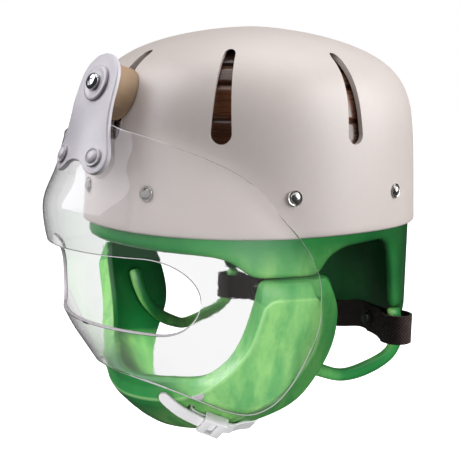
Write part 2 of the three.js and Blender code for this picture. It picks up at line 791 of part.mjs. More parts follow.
function chinStrap() {
  const slot = STRAP.slotAt;
  const round = strapRibbon([
    [slot, strapInner + 1],
    [slot, -3],
    [slot, CHIN.raise - 2],
    [slot + 0.015, strapLevel - 0.8],
    [slot + 0.06, strapLevel],
    [0.64, strapLevel],
    [0.8, strapLevel],
    [0.9, 0.8 * CHIN.raise + STRAP.clear],
    [1, 0.3 * CHIN.raise, 2.6],
    [1, -0.5 * CHIN.depth, 2.4],
    [0.98, strapInner + 0.5],
    [0.86, strapInner],
    [0.64, strapInner],
    [slot + 0.06, strapInner],
    [slot - 0.02, strapInner],
  ]);
  const top = strapLevel + STRAP.thickness + 0.6;
  const tail = strapRibbon([
    [0.83, strapLevel - 0.1],
    [0.76, strapLevel + 0.6 * STRAP.thickness],
    [0.66, top],
    [0.45, top],
    [0.28, top - 1.2],
    [0.14, top - 3.8],
    [STRAP.tailReach, top - 6.4],
  ]);
  return join(round, [tail]);
}

function strapSlot(clear) {
  const length = 40;
  const opening = new THREE.BoxGeometry(STRAP.thickness + clear, STRAP.width + clear, length);
  const { point, facing } = strapPlace(STRAP.slotAt, 0, 0);
  const { side } = strapRun([[0.5, 0], [0.8, 0]]);
  const across = side.clone().cross(facing).normalize();
  return place(opening, point, across, facing.clone().cross(across), facing);
}

function chinBuckle() {
  const inX = STRAP.width / 2 + BUCKLE.clear;
  const low = -STRAP.thickness / 2 - 0.35;
  const high = 1.5 * STRAP.thickness + 0.6 + BUCKLE.clear;
  const outX = inX + BUCKLE.wall;
  const outline = new THREE.Shape();
  outline.moveTo(-outX, low);
  outline.lineTo(-inX, low);
  outline.lineTo(-inX, high);
  outline.lineTo(inX, high);
  outline.lineTo(inX, low);
  outline.lineTo(outX, low);
  outline.lineTo(outX, high + BUCKLE.wall);
  outline.lineTo(-outX, high + BUCKLE.wall);
  const block = new THREE.ExtrudeGeometry(outline, { depth: BUCKLE.length, bevelEnabled: false });
  const { point, facing } = strapPlace(BUCKLE.at, strapLevel, 0);
  const { side } = strapRun([[0.5, 0], [0.8, 0]]);
  return place(block, point, side.clone().negate(), facing, facing.clone().cross(side).normalize());
}

// Assembly
const helmet = new THREE.Group();
helmet.name = 'helmet_with_faceguard';

function piece(name, geometry, look) {
  geometry.computeVertexNormals();
  geometry.translate(0, 0, -SEAT_HEIGHT);
  const mesh = new THREE.Mesh(geometry, new THREE.MeshStandardMaterial(look));
  mesh.name = name;
  helmet.add(mesh);
}

const shellTools = [...SLOT_ANGLES.map(slotCutter), ...RIVET_ANGLES.map(rivetHole)];
piece('shell', cut(dome(0, -SHELL.wall, 0, 44, 4, 6), shellTools), WHITE);
const crownOutside = -SHELL.wall - FIT_GAP;
piece('crown_liner', dome(crownOutside, crownOutside - CROWN_WALL, CROWN_BOTTOM, 44, 2, 6), BROWN);
piece('head_band', cut(headBand(), [chinGuard(0.35)]), GREEN);
piece('chin_guard', cut(chinGuard(0), [strapSlot(2.4)]), GREEN);

const loopSolid = cut(earLoop(), [chinGuard(0.35)]);
piece('ear_loop_left', loopSolid.clone(), GREEN);
piece('ear_loop_right', mirrored(loopSolid), GREEN);

const guardRivetBores = [1, -1].map((side) => {
  return boreAt(tabRivetPoint(side), tabRivetFacing(side), TAB_RIVET.bore);
});
piece('faceguard', cut(guardSheet(), [windowCutter(), ...guardRivetBores, chinGuard(0.4)]), CLEAR);

const tabBores = [boreAt(tabScrew, tabOut, PUCK.bore), ...guardRivetBores, notchCutter()];
piece('faceguard_tab', cut(tabSheet(), tabBores), TABWHITE);
piece('spacer_puck', spacerPuck(), TAN);
piece('tab_washer', tabWasher(), TABWHITE);
piece('tab_screw', tabScrewBody(), STEEL);
piece('tab_rivet_left', tabRivet(1), STEEL);
piece('tab_rivet_right', tabRivet(-1), STEEL);
RIVET_ANGLES.forEach((degrees, i) => piece(`shell_rivet_${i + 1}`, shellRivet(degrees), STEEL));

piece('nape_strap', napeStrap(), DARK);
const snapBody = strapSnap();
piece('strap_snap_left', snapBody.clone(), BLACK);
piece('strap_snap_right', mirrored(snapBody), BLACK);
piece('chin_strap', cut(chinStrap(), [cut(chinGuard(0.3), [strapSlot(1.6)])]), STRAPWHITE);
piece('chin_buckle', chinBuckle(), STRAPWHITE);

export default helmet;
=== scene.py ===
import math

import bmesh
import bpy
import numpy as np
from mathutils import Matrix, Vector


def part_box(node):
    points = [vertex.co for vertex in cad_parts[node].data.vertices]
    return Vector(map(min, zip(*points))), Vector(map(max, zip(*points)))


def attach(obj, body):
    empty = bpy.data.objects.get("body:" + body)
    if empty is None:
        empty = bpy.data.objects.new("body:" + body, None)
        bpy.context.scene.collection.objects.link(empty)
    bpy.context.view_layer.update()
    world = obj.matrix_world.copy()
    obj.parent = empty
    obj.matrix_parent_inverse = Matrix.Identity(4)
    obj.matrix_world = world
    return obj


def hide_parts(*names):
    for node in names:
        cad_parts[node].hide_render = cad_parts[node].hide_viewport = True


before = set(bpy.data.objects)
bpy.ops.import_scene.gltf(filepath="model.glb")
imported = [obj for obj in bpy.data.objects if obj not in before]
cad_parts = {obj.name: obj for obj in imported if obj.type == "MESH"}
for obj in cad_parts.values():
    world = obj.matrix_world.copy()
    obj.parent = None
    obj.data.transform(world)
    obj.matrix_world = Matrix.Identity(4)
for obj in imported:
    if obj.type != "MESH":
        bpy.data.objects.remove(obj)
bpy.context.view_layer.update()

# Sizes are in millimetres above the shell's rim, and the part's origin is this far up, inside the crown
SEAT_HEIGHT = 115.5

SHELL = {"half_width": 101, "half_length": 116, "height": 127.3, "wall": 3.2}
PLAN_POWER = 0.904
TOP_POWER = 6.85
SIDE_POWER = 1.52
TAPER = 0.057
DOME_SAMPLES = 6000
SHELL_ROWS = 64
SHELL_COLUMNS = 200

SLOT = {"bottom": 53.7, "top": 108.1, "low_radius": 6.2, "high_radius": 3.5, "aim": 80.0}
SLOT_REACH = (40, 150)
SLOT_ANGLES = (0, 41.6, -41.6, 87.5, -87.5, 133, -133, 180)

LINER_OUTSIDE = -3.8
LINER_WALL = 8
LINER_BOTTOM = 34
RIB_LEVELS = (98, 87, 67.5, 48)
RIB_GROOVE = 1.6
RIB_HALF = 1.1
LINER_TONES = ((67.5, 0.3, 0.62), (87, 0, -0.22), (98, 0, -0.28))
LINER_GRID = (150, 144)
BAND_TOP = 33
BAND_RADIUS = 100.0
BAND_SAMPLES = 2880
BAND_LAP = 40
BAND_COLUMNS = 620
BAND_PASSES = 14
BAND_ROWS = 15
EDGE_STEPS = 9
BAND_EDGE = (
    (0, -10), (30, -10.5), (40, -11.5), (46, -14.5), (51, -20.5), (55, -23.6), (76, -23.6), (81, -13),
    (88, -8), (102, -7),
    (109, -13), (113, -32), (116, -57), (127, -57), (131, -61), (138, -71), (147, -77),
    (160, -79), (180, -78.5),
)

CHIN_FRONT = (
    (81, -67, -24.4), (76, -68, -43), (68.5, -70, -63), (60, -74.5, -77),
    (49, -82.5, -86.5), (34, -93, -91), (17, -101.5, -93), (0, -105, -93.5),
)
CHIN_REAR = (
    (96.5, -24, -24.4), (93, -13, -46.5), (86.5, -12, -73), (80, -27, -99),
    (66, -41, -113), (45, -53, -123.5), (22.5, -62, -128.5), (0, -66, -130),
)
CHIN = {"raise": 9.5, "depth": 6, "bevel": 9, "crown": 1.5, "ease": 2.5, "edge": 2.2, "lift": 3}
CHIN_SQUARE = (3.6, 5.4)
CHIN_SHOULDER = (0.45, 0.62)
CHIN_HOLLOW = (0.36, 0.26)
CHIN_FACE = ((0.68, 0.8), (0.5, 1.0), (0.28, 0.8))
CHIN_SPANS = 2 * (len(CHIN_FRONT) - 1)
CHIN_STEPS = 12
CHIN_TANGENT = 0.056
CHIN_LEAD = (0.02, 0.05, 0.1)
CHIN_END = 3.6
CHIN_CLEARANCE = 0.4
CHEEK_SLOPE = (2.0, 7.0)
CHEEK_END = (8.0, 0.5)
CHEEK_ROUND = 10.0
CHEEK_EDGE = 1.8
CHIN_CORNERS = 14
REAR_CORNERS = (2, 3, 4, 5)
CREASE_CORNERS = (6, 10)
CREASE_RADIUS = 0.8
CORNER_STEPS = 4
# A mark of one in the run layer, which the mesh builder divides by a thousand
MARK = 1000.0
WELD = 2e-6
SLIVER = 1e-7

LOOP = {"radius": 4.4, "trim": 0.1, "swell": 0.05, "waves": 3, "end_steps": 3.0, "end_share": 0.75}
LOOP_POINTS = 170
LOOP_SIDES = 24
LOOP_PATH = (
    (82.7, 56.2, -57.8), (82.9, 56.4, -60.8), (84.6, 57.2, -68), (86, 56.6, -77), (86.8, 49, -86.5),
    (85.3, 27, -93.5), (81.8, 6, -95), (76, -8, -90.5), (69.2, -26.5, -81.5), (65.6, -38, -72.4),
    (65.2, -44.2, -64.4), (67, -48.5, -52), (69.4, -49, -44),
)

GUARD_WALL = 2.6
GUARD_POWER = 0.97
GUARD_FLAT = 115.0
GUARD_MIDDLE = (0, -32.5)
GUARD_SAMPLES = 900
GUARD_PASSES = 60
GUARD_FAIRING = 45
GUARD_COLUMNS = 360
GUARD_ROWS = 30
SAWN_EASE = ((0.25, 0.25), (0.6, 0.35))
GUARD_LEVELS = (
    (75, 124.4, 106), (62, 129, 107), (45, 135, 108), (34, 138.4, 109), (24, 144.5, 110), (13, 149, 110),
    (-3, 147.5, 109), (-17, 143.5, 109), (-40, 141, 109), (-53, 135, 108), (-66, 128.5, 105),
    (-80, 119, 101), (-90, 112.5, 97.5), (-100, 106, 93), (-120, 100, 86),
)
GUARD_EDGE = (
    (0, 66, -89), (6, 65, -89.3), (14, 61, -90.5), (24, 57, -94), (37, 50, -102), (44, 45, -107),
    (53, 36, -110), (61, 21, -104), (66, 9, -92), (70, -2, -76), (73, -14, -60), (74.5, -26, -48),
)
WINDOW = {"half_width": 75, "top": -9.5, "bottom": -55.5}

TAB_SCREW = np.array((0, -124.5, 87))
TAB_LEAN = math.radians(19.9)
TAB_WALL = 3
TAB_BEND = (8, 36, 84)
TAB_RIVETS = (16.5, -44)
TAB_EASE = 0.9
TAB_SPINE = (-40, 8)
TAB_SHARES = (0.0, 0.2, 0.4, 0.6, 0.78, 0.92)
TAB_POINTS = 220
BORE_REACH = (-12, 8)
SCREW_BORE = 3
RIVET_BORE = 2.4
TAB_HALF_OUTLINE = (
    (0, 19), (7.3, 17.5), (13.4, 13.4), (17.5, 7.3), (19, 0), (19.6, -8), (20.3, -18), (21.6, -27),
    (24, -35), (26, -40), (26.5, -44.5), (25.6, -48.5), (23, -52), (19, -53.7), (15, -53.4),
    (11.8, -51.9), (8.8, -49.4), (5, -47.6), (0, -47),
)

WEBBING = {"width": 19.5, "thickness": 1.7, "wrap": 9.6, "lap": 36, "sag": 9, "middle_y": 77}
STRAP = {
    "station": 5.1, "slant": 0.9, "width": 10, "thickness": 1.5, "clear": 0.9, "slot": 0.36, "reach": 0.04,
    "slot_clear": 2.4,
}
BUCKLE = {"at": 0.74, "wall": 1.82, "length": 15, "clear": 0.9, "below": 0.35}
TAIL_GAP = 0.6

RIVET_ANGLES = (16, -16, 66, -66, 105, -105, 155, -155)
RIVET_HEIGHT = 23.8
SHELL_RIVET = (4.6, 2.2, 1.0)
TAB_RIVET = (5.6, 2.4, 1.1)
SNAP_CAP = (6, 2, 0.9)
SNAP_AT = (28.8, 3.6)
PUCK = {"radius": 16.5, "bore": 3.1, "gap": 0.35, "clear": 0.7, "step": 0.1, "deepest": -40, "waist": 0.05}
RING_SIDES = 96
WASHER_SIDES = 72
WASHER_PROFILE = (
    (3, 0.35), (10.6, 0.35), (11, 0.7), (11, 1.3), (10.6, 1.75), (9.8, 1.95), (8.4, 1.95), (7.6, 1.72),
    (5.4, 1.72), (4.6, 1.95), (3.2, 1.95), (3, 1.7),
)
SCREW_SHANK = ((0.4, -15.8), (2.0, -15.8), (2.4, -15.2), (2.4, 2.35), (5.0, 2.35), (5.2, 2.7), (5.2, 3.4))
SCREW_HEAD = {"radius": 5.2, "base": 3.2, "rise": 2.5, "top": (0.1, 5.7)}
SCREW_CROSS = {"size": (6.2, 1.3, 3.0), "sunk": (5.6, 5.47), "ease": 0.3}
SCREW_TURN = math.radians(24)

# Colours are linear, and the places and depths of a finish are in metres in the part's frame
BROAD_SHARE = 0.65
MOTTLE_RANGE = (0.34, 0.68)
THREAD_PITCH = (0.0024, 0.0021)
GRAIN_DEPTH = 0.0006
FINE_DEPTH = 0.0005
COAT_ROUGH = 0.08
# The vinyl tones are painted light and shade on one green: the inner tone is painted shade on inward faces,
# the outer tone is the plain outer face, and the lit tone is painted light; the pale tone is for real
# scratches and painted crease highlights
VINYL_INNER = ((0.009, 0.14, 0.03), (0.004, 0.085, 0.018))
VINYL_OUTER = ((0.04, 0.31, 0.07), (0.018, 0.21, 0.05))
VINYL_LIT = ((0.25, 0.57, 0.16), (0.085, 0.37, 0.095))
VINYL_SCUFF_AND_HIGHLIGHT = (0.4, 0.72, 0.3)
VINYL_TURN = (-0.35, 0.4)
VINYL_ROUGH = (0.28, 0.4)
# The cheek limits bound the patch of painted light, the crease mark places the painted highlight, and the
# lining and loop limits bound the inner faces painted in the lit tone
CHEEK_REAR = (0.006, -0.022)
CHEEK_FRONT = (-0.1, -0.084)
CHEEK_TOP = (-0.119, -0.138)
CHEEK_TURN = (0.3, 0.12)
CHEEK_MARK = (0.9, 0.4, 0.5, 1.0)
CREASE_MARK = (0.86, 1.0, 0.0, 0.5)
LINING_SLOPE = 0.238
LINING_LIT = (-0.214, -0.222)
LOOP_REAR = (-0.035, -0.005)
CLEAR_TINT = ((0.972, 0.972, 0.978), (0.992, 0.992, 0.995))
CLEAR_SHADOW = (0.93, 0.935, 0.94)
CLEAR_HAZE = (0.015, 0.045)
LINER_COLOURS = ((0.014, 0.005, 0.003), (0.25, 0.085, 0.032))
LINER_BLUR = 0.0004
STREAK_RANGE = (0.3, 0.7)
THREAD_COLOURS = ((0.006, 0.003, 0.002), (0.1, 0.052, 0.043))
WEBBING_WORN = (0.045, 0.022, 0.018)
WEAVE_DEPTH = 0.0004

UP = np.array((0.0, 0.0, 1.0))
HANDS = (("left", 1), ("right", -1))


# Reading tables and curves
def smoothstep(x, low, high):
    share = np.clip((x - low) / (high - low), 0, 1)
    return share * share * (3 - 2 * share)


def blend_span(s, gap, first, last, first_bend, last_bend):
    early = (1 + 2 * s) * (1 - s) ** 2 * first + s * (1 - s) ** 2 * gap * first_bend
    late = s * s * (3 - 2 * s) * last + s * s * (s - 1) * gap * last_bend
    return early + late


def read_table(rows, column):
    at = [row[0] for row in rows]
    value = [row[column] for row in rows]
    order = np.argsort(at)
    at = np.array(at, float)[order]
    value = np.array(value, float)[order]
    step = np.diff(at)
    slope = np.diff(value) / step
    bend = np.zeros(len(at))
    bend[0] = slope[0]
    bend[-1] = slope[-1]
    for i in range(1, len(at) - 1):
        if slope[i - 1] * slope[i] > 0:
            bend[i] = 2 * slope[i - 1] * slope[i] / (slope[i - 1] + slope[i])

    def read(x):
        x = np.clip(np.asarray(x, float), at[0], at[-1])
        i = np.clip(np.searchsorted(at, x) - 1, 0, len(step) - 1)
        s = (x - at[i]) / step[i]
        return blend_span(s, step[i], value[i], value[i + 1], bend[i], bend[i + 1])

    return read


def even_curve(points, at):
    points = np.asarray(points, float)
    ends = np.vstack([2 * points[0] - points[1], points, 2 * points[-1] - points[-2]])
    at = np.clip(np.asarray(at, float), 0, len(points) - 1)
    i = np.minimum(at.astype(int), len(points) - 2)
    s = (at - i)[..., None]
    a, b, c, d = ends[i], ends[i + 1], ends[i + 2], ends[i + 3]
    return 0.5 * (2 * b + (c - a) * s + (2 * a - 5 * b + 4 * c - d) * s**2 + (3 * b - a - 3 * c + d) * s**3)


def eased_path(points, per_span):
    points = np.asarray(points, float)
    gap = np.sqrt(np.linalg.norm(np.diff(points, axis=0), axis=1))
    slope = np.diff(points, axis=0) / gap[:, None]
    inner = slope[:-1] * (gap[1:] / (gap[1:] + gap[:-1]))[:, None]
    inner = inner + slope[1:] * (gap[:-1] / (gap[1:] + gap[:-1]))[:, None]
    bend = np.vstack([slope[:1], inner, slope[-1:]])
    out = []
    for i in range(len(points) - 1):
        for k in range(per_span):
            s = k / per_span
            out.append(blend_span(s, gap[i], points[i], points[i + 1], bend[i], bend[i + 1]))
    out.append(points[-1])
    return np.array(out)


def unit(v):
    v = np.asarray(v, float)
    return v / np.linalg.norm(v, axis=-1, keepdims=True)


def travelled(path):
    return np.concatenate([[0], np.cumsum(np.linalg.norm(np.diff(path, axis=0), axis=1))])


def even_spacing(line, count, closed):
    line = np.asarray(line, float)
    if closed:
        line = np.vstack([line, line[:1]])
    length = travelled(line)
    at = np.linspace(0, length[-1], count + 1 if closed else count)
    if closed:
        at = at[:-1]
    return np.stack([np.interp(at, length, line[:, k]) for k in range(line.shape[1])], 1)


def soften(line, passes, closed):
    line = np.array(line, float)
    for _ in range(passes):
        if closed:
            line = 0.25 * np.roll(line, 1, 0) + 0.5 * line + 0.25 * np.roll(line, -1, 0)
        else:
            line[1:-1] = 0.25 * line[:-2] + 0.5 * line[1:-1] + 0.25 * line[2:]
    return line


def round_corners(outline, radius):
    outline = np.asarray(outline, float)
    made = []
    for before, corner, after in zip(np.roll(outline, 1, 0), outline, np.roll(outline, -1, 0)):
        back = before - corner
        ahead = after - corner
        first = corner + back * min(radius / np.linalg.norm(back), 0.45)
        last = corner + ahead * min(radius / np.linalg.norm(ahead), 0.45)
        for t in np.linspace(0, 1, CORNER_STEPS + 1):
            made.append((1 - t) ** 2 * first + 2 * t * (1 - t) * corner + t * t * last)
    return np.array(made)


# Building meshes
class Body:
    def __init__(self, points, faces, runs=None):
        self.points = np.asarray(points, float).reshape(-1, 3)
        self.faces = faces
        self.runs = np.zeros((len(self.points), 2)) if runs is None else np.asarray(runs).reshape(-1, 2)


def grid_faces(rows, columns, round_rows=False, round_columns=False):
    i = np.arange(rows if round_rows else rows - 1)[:, None]
    j = np.arange(columns if round_columns else columns - 1)[None, :]
    below = (i + 1) % rows
    beside = (j + 1) % columns
    corners = (i * columns + j, i * columns + beside, below * columns + beside, below * columns + j)
    return np.stack([c + 0 * (i + j) for c in corners], -1).reshape(-1, 4).tolist()


def loft(rings, runs=None, ends=None):
    rings = np.asarray(rings, float)
    rows, columns = rings.shape[:2]
    faces = grid_faces(rows, columns, False, True)
    if ends is None:
        ends = np.array([rings[0].mean(0), rings[-1].mean(0)])
    first = rows * columns
    last = (rows - 1) * columns
    for j in range(columns):
        k = (j + 1) % columns
        faces.append((k, j, first))
        faces.append((last + j, last + k, first + 1))
    if runs is not None:
        runs = np.asarray(runs, float).reshape(rows, columns, 2)
        runs = np.vstack([runs.reshape(-1, 2), [runs[0].mean(0), runs[-1].mean(0)]])
    return Body(np.vstack([rings.reshape(-1, 3), ends]), faces, runs)


def turned(profile, sides, origin, axis):
    axis = unit(axis)
    aside = unit(np.cross(axis, (0.31, 0.17, 0.94)))
    third = np.cross(axis, aside)
    turn = np.linspace(0, 2 * math.pi, sides, endpoint=False)
    ring = np.cos(turn)[:, None] * aside + np.sin(turn)[:, None] * third
    return loft([np.asarray(origin) + h * axis + r * ring for r, h in profile])


def weld(mesh, sliver, face_out=False):
    work = bmesh.new()
    work.from_mesh(mesh)
    bmesh.ops.remove_doubles(work, verts=work.verts, dist=WELD)
    bmesh.ops.dissolve_degenerate(work, edges=work.edges, dist=sliver)
    if face_out:
        bmesh.ops.recalc_face_normals(work, faces=work.faces)
    work.to_mesh(mesh)
    work.free()


# Turns a body in millimetres above the rim into a mesh in metres about the part's origin
def closed_mesh(name, body):
    mesh = bpy.data.meshes.new(name)
    points = (body.points - SEAT_HEIGHT * UP) / 1000
    mesh.from_pydata(points.tolist(), [], body.faces)
    runs = body.runs / 1000
    if np.any(runs):
        layer = mesh.uv_layers.new(name="run")
        at = np.zeros(len(mesh.loops), int)
        mesh.loops.foreach_get("vertex_index", at)
        layer.data.foreach_set("uv", runs[at].ravel())
    weld(mesh, SLIVER, True)
    mesh.update()
    return mesh


def cut_mesh(mesh, cutters, operation="DIFFERENCE"):
    scene = bpy.context.scene
    target = bpy.data.objects.new("work_target", mesh)
    scene.collection.objects.link(target)
    helpers = []
    for cutter in cutters:
        helper = bpy.data.objects.new("work_cutter", cutter)
        scene.collection.objects.link(helper)
        helpers.append(helper)
        step = target.modifiers.new("cut", "BOOLEAN")
        step.operation = operation
        step.solver = "EXACT"
        step.object = helper
    view = bpy.context.evaluated_depsgraph_get()
    result = bpy.data.meshes.new_from_object(target.evaluated_get(view))
    for one in [target] + helpers:
        bpy.data.objects.remove(one)
    weld(result, WELD)
    result.name = mesh.name
    return result


def add_piece(name, shape, material, node, crease=None):
    mesh = closed_mesh(name, shape) if isinstance(shape, Body) else shape
    mesh.materials.clear()
    mesh.materials.append(material)
    mesh.polygons.foreach_set("material_index", [0] * len(mesh.polygons))
    mesh.polygons.foreach_set("use_smooth", [True] * len(mesh.polygons))
    if crease is not None:
        mesh.set_sharp_from_angle(angle=math.radians(crease))
    piece = bpy.data.objects.new(name, mesh)
    bpy.context.scene.collection.objects.link(piece)
    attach(piece, "root")
    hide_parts(node)
    return piece


# Material helpers
class Nodes:
    def __init__(self, tree):
        self.tree = tree

    def add(self, kind):
        return self.tree.nodes.new(kind)

    def link(self, start, end):
        self.tree.links.new(start, end)

    def feed(self, socket, value):
        if isinstance(value, bpy.types.NodeSocket):
            self.link(value, socket)
        else:
            socket.default_value = (*value, 1.0) if socket.type == "RGBA" else value

    def into(self, node, **values):
        for key, value in values.items():
            self.feed(node.inputs[key.replace("_", " ")], value)
        return node.outputs

    def place(self):
        return self.add("ShaderNodeTexCoord").outputs

    def split(self, vector):
        return self.into(self.add("ShaderNodeSeparateXYZ"), Vector=vector)

    def run_marks(self):
        node = self.add("ShaderNodeUVMap")
        node.uv_map = "run"
        return self.split(node.outputs["UV"])

    def noise(self, scale, detail=4.0, rough=0.55, stretch=None, turn=(0, 0, 0)):
        source = self.place()["Object"]
        if stretch is not None:
            mapping = self.add("ShaderNodeMapping")
            source = self.into(mapping, Scale=stretch, Rotation=turn, Vector=source)["Vector"]
        node = self.add("ShaderNodeTexNoise")
        return self.into(node, Scale=scale, Detail=detail, Roughness=rough, Vector=source)["Fac"]

    def remap(self, value, from_low, from_high, to_low=0.0, to_high=1.0):
        node = self.add("ShaderNodeMapRange")
        node.clamp = True
        limits = {"From_Min": from_low, "From_Max": from_high, "To_Min": to_low, "To_Max": to_high}
        return self.into(node, Value=value, **limits)["Result"]

    def sum(self, one, two, operation="ADD"):
        node = self.add("ShaderNodeMath")
        node.operation = operation
        self.feed(node.inputs[0], one)
        self.feed(node.inputs[1], two)
        return node.outputs["Value"]

    def times(self, one, two):
        return self.sum(one, two, "MULTIPLY")

    def vector(self, operation, one, two=None):
        node = self.add("ShaderNodeVectorMath")
        node.operation = operation
        self.feed(node.inputs[0], one)
        if two is not None:
            self.feed(node.inputs[1], two)
        return node.outputs

    def mix(self, share, one, two):
        node = self.add("ShaderNodeMix")
        node.data_type = "RGBA"
        for name, value in (("Factor_Float", share), ("A_Color", one), ("B_Color", two)):
            self.feed(next(s for s in node.inputs if s.identifier == name), value)
        return next(s for s in node.outputs if s.identifier == "Result_Color")

    def bump(self, height, strength, distance):
        node = self.add("ShaderNodeBump")
        return self.into(node, Strength=strength, Distance=distance, Height=height)["Normal"]


# Effects that several materials share, each a group with its own inputs
def group(name, inputs, outputs):
    tree = bpy.data.node_groups.new(name, "ShaderNodeTree")
    for key, value in inputs.items():
        socket = tree.interface.new_socket(name=key, in_out="INPUT", socket_type="NodeSocketFloat")
        socket.default_value = value
    for key in outputs:
        tree.interface.new_socket(name=key, in_out="OUTPUT", socket_type="NodeSocketFloat")
    given = tree.nodes.new("NodeGroupInput").outputs
    return tree, Nodes(tree), given, tree.nodes.new("NodeGroupOutput")


def hair_scratches():
    tree, nodes, given, out = group("hair_scratches", {"Amount": 1.0}, ["Mask"])
    one = nodes.noise(60, 2, 0.5, (1, 22, 1), (0.4, 0.3, 0.7))
    two = nodes.noise(60, 2, 0.5, (26, 1, 1), (0.2, 0.9, 0.4))
    three = nodes.noise(40, 2, 0.5, (1, 1, 26), (0.9, 0.5, 1.2))
    most = nodes.sum(nodes.sum(one, two, "MAXIMUM"), three, "MAXIMUM")
    thin = nodes.remap(most, 0.73, 0.79)
    patches = nodes.remap(nodes.noise(28, 2), 0.5, 0.68)
    nodes.into(out, Mask=nodes.times(nodes.times(thin, patches), given["Amount"]))
    return tree


def soft_mottle():
    tree, nodes, given, out = group("soft_mottle", {"Broad Scale": 24, "Fine Scale": 260}, ["Broad", "Fine"])
    for key, detail in (("Broad", 3), ("Fine", 4)):
        noise = nodes.noise(given[key + " Scale"], detail)
        nodes.into(out, **{key: nodes.remap(noise, *MOTTLE_RANGE)})
    return tree


def moulded_grain():
    tree, nodes, given, out = group("moulded_grain", {"Swell": 1.6}, ["Height"])
    peel = nodes.noise(420, 3)
    swell = nodes.noise(55, 2)
    nodes.into(out, Height=nodes.sum(nodes.times(swell, given["Swell"]), peel))
    return tree


def woven_threads():
    waves = {key: 2 * math.pi / pitch for key, pitch in zip(("Across", "Along"), THREAD_PITCH)}
    tree, nodes, given, out = group("woven_threads", waves, ["Height", "Mask"])
    run = nodes.run_marks()
    across = nodes.sum(nodes.times(run["X"], given["Across"]), 0, "SINE")
    along = nodes.sum(nodes.times(run["Y"], given["Along"]), 0, "SINE")
    thread = nodes.times(across, along)
    nodes.into(out, Height=nodes.remap(thread, -1, 1), Mask=nodes.remap(thread, -0.2, 0.8))
    return tree


SCRATCHES = hair_scratches()
MOTTLE = soft_mottle()
GRAIN = moulded_grain()
WEAVE = woven_threads()


def material(name):
    made = bpy.data.materials.new(name)
    made.use_nodes = True
    return made, Nodes(made.node_tree), made.node_tree.nodes["Principled BSDF"]


def use(nodes, tree, **values):
    node = nodes.add("ShaderNodeGroup")
    node.node_tree = tree
    return nodes.into(node, **values)


def coated(name, light, dark, rough, spread, grain, scuff, coat=0.0, metal=0.0):
    made, nodes, shader = material(name)
    mottle = use(nodes, MOTTLE)
    scratch = use(nodes, SCRATCHES, Amount=scuff)["Mask"]
    share = nodes.sum(nodes.times(mottle["Broad"], BROAD_SHARE), nodes.times(mottle["Fine"], 1 - BROAD_SHARE))
    wear_and_lit_tone = tuple(min(1.0, 0.55 * c + 0.4) for c in light)
    colour = nodes.mix(scratch, nodes.mix(share, dark, light), wear_and_lit_tone)
    uneven = nodes.remap(mottle["Fine"], 0, 1, rough - spread, rough + spread)
    uneven = nodes.sum(uneven, nodes.times(scratch, 0.25))
    height = nodes.sum(use(nodes, GRAIN)["Height"], nodes.times(scratch, -0.6))
    normal = nodes.bump(height, grain, GRAIN_DEPTH)
    nodes.into(shader, Base_Color=colour, Roughness=uneven, Normal=normal)
    nodes.into(shader, Metallic=metal, Coat_Weight=coat, Coat_Roughness=COAT_ROUGH)
    return made


def dipped_vinyl(name, lit_run=None):
    made, nodes, shader = material(name)
    mottle = use(nodes, MOTTLE)
    scratch = use(nodes, SCRATCHES)["Mask"]
    where = nodes.place()
    at = nodes.split(where["Object"])
    normal = nodes.split(where["Normal"])
    mark = nodes.run_marks()
    level = nodes.vector("MULTIPLY", where["Object"], (1, 1, 0))["Vector"]
    outward = nodes.vector("NORMALIZE", level)["Vector"]
    facing = nodes.vector("DOT_PRODUCT", outward, where["Normal"])["Value"]
    outer = nodes.remap(facing, *VINYL_TURN)
    # The inner tone is painted shade on faces turned inward; the lit tone, mottled by a blotch noise, is
    # painted light
    inside = nodes.mix(mottle["Broad"], VINYL_INNER[1], VINYL_INNER[0])
    outer_tone = nodes.mix(mottle["Broad"], VINYL_OUTER[1], VINYL_OUTER[0])
    blotch = nodes.noise(85, 6, 0.62, (1, 1, 0.22), (0.7, 0.25, 0.3))
    blotch = nodes.sum(nodes.remap(blotch, 0.4, 0.66), nodes.times(mottle["Fine"], 0.25))
    wear_and_lit_tone = nodes.mix(blotch, VINYL_LIT[1], VINYL_LIT[0])
    # The patch of painted light covers the lower outer cheeks and stops at their rear slope
    cheek = nodes.remap(at["Y"], *CHEEK_REAR)
    limits = ((at["Y"], CHEEK_FRONT), (at["Z"], CHEEK_TOP))
    limits += ((normal["Y"], CHEEK_TURN), (mark["Y"], CHEEK_MARK))
    for value, limit in limits:
        cheek = nodes.times(cheek, nodes.remap(value, *limit))
    outside = nodes.mix(cheek, outer_tone, wear_and_lit_tone)
    # On the loops the rear of the inner faces is painted in the lit tone as painted light
    if lit_run:
        inside = nodes.mix(nodes.remap(at["Y"], *lit_run), inside, wear_and_lit_tone)
    # Inner faces below a sloping plane are painted in the lit tone as painted light
    lining = nodes.sum(at["Z"], nodes.times(at["Y"], LINING_SLOPE))
    inside = nodes.mix(nodes.remap(lining, *LINING_LIT), inside, wear_and_lit_tone)
    colour = nodes.mix(outer, inside, outside)
    # Marked creases get a pale painted highlight
    colour = nodes.mix(nodes.remap(mark["X"], *CREASE_MARK), colour, VINYL_SCUFF_AND_HIGHLIGHT)
    # Real scratches lighten the outer faces only inside the patch of painted light
    scuff = nodes.times(nodes.times(scratch, nodes.times(outer, cheek)), 0.45)
    colour = nodes.mix(scuff, colour, VINYL_SCUFF_AND_HIGHLIGHT)
    rough = nodes.sum(nodes.remap(mottle["Fine"], 0, 1, *VINYL_ROUGH), nodes.times(blotch, 0.1))
    rough = nodes.sum(rough, scuff)
    height = nodes.sum(use(nodes, GRAIN)["Height"], nodes.times(scratch, -0.3))
    nodes.into(shader, Base_Color=colour, Roughness=rough, Normal=nodes.bump(height, 0.06, GRAIN_DEPTH))
    nodes.into(shader, Coat_Weight=0.14, Coat_Roughness=0.16)
    return made


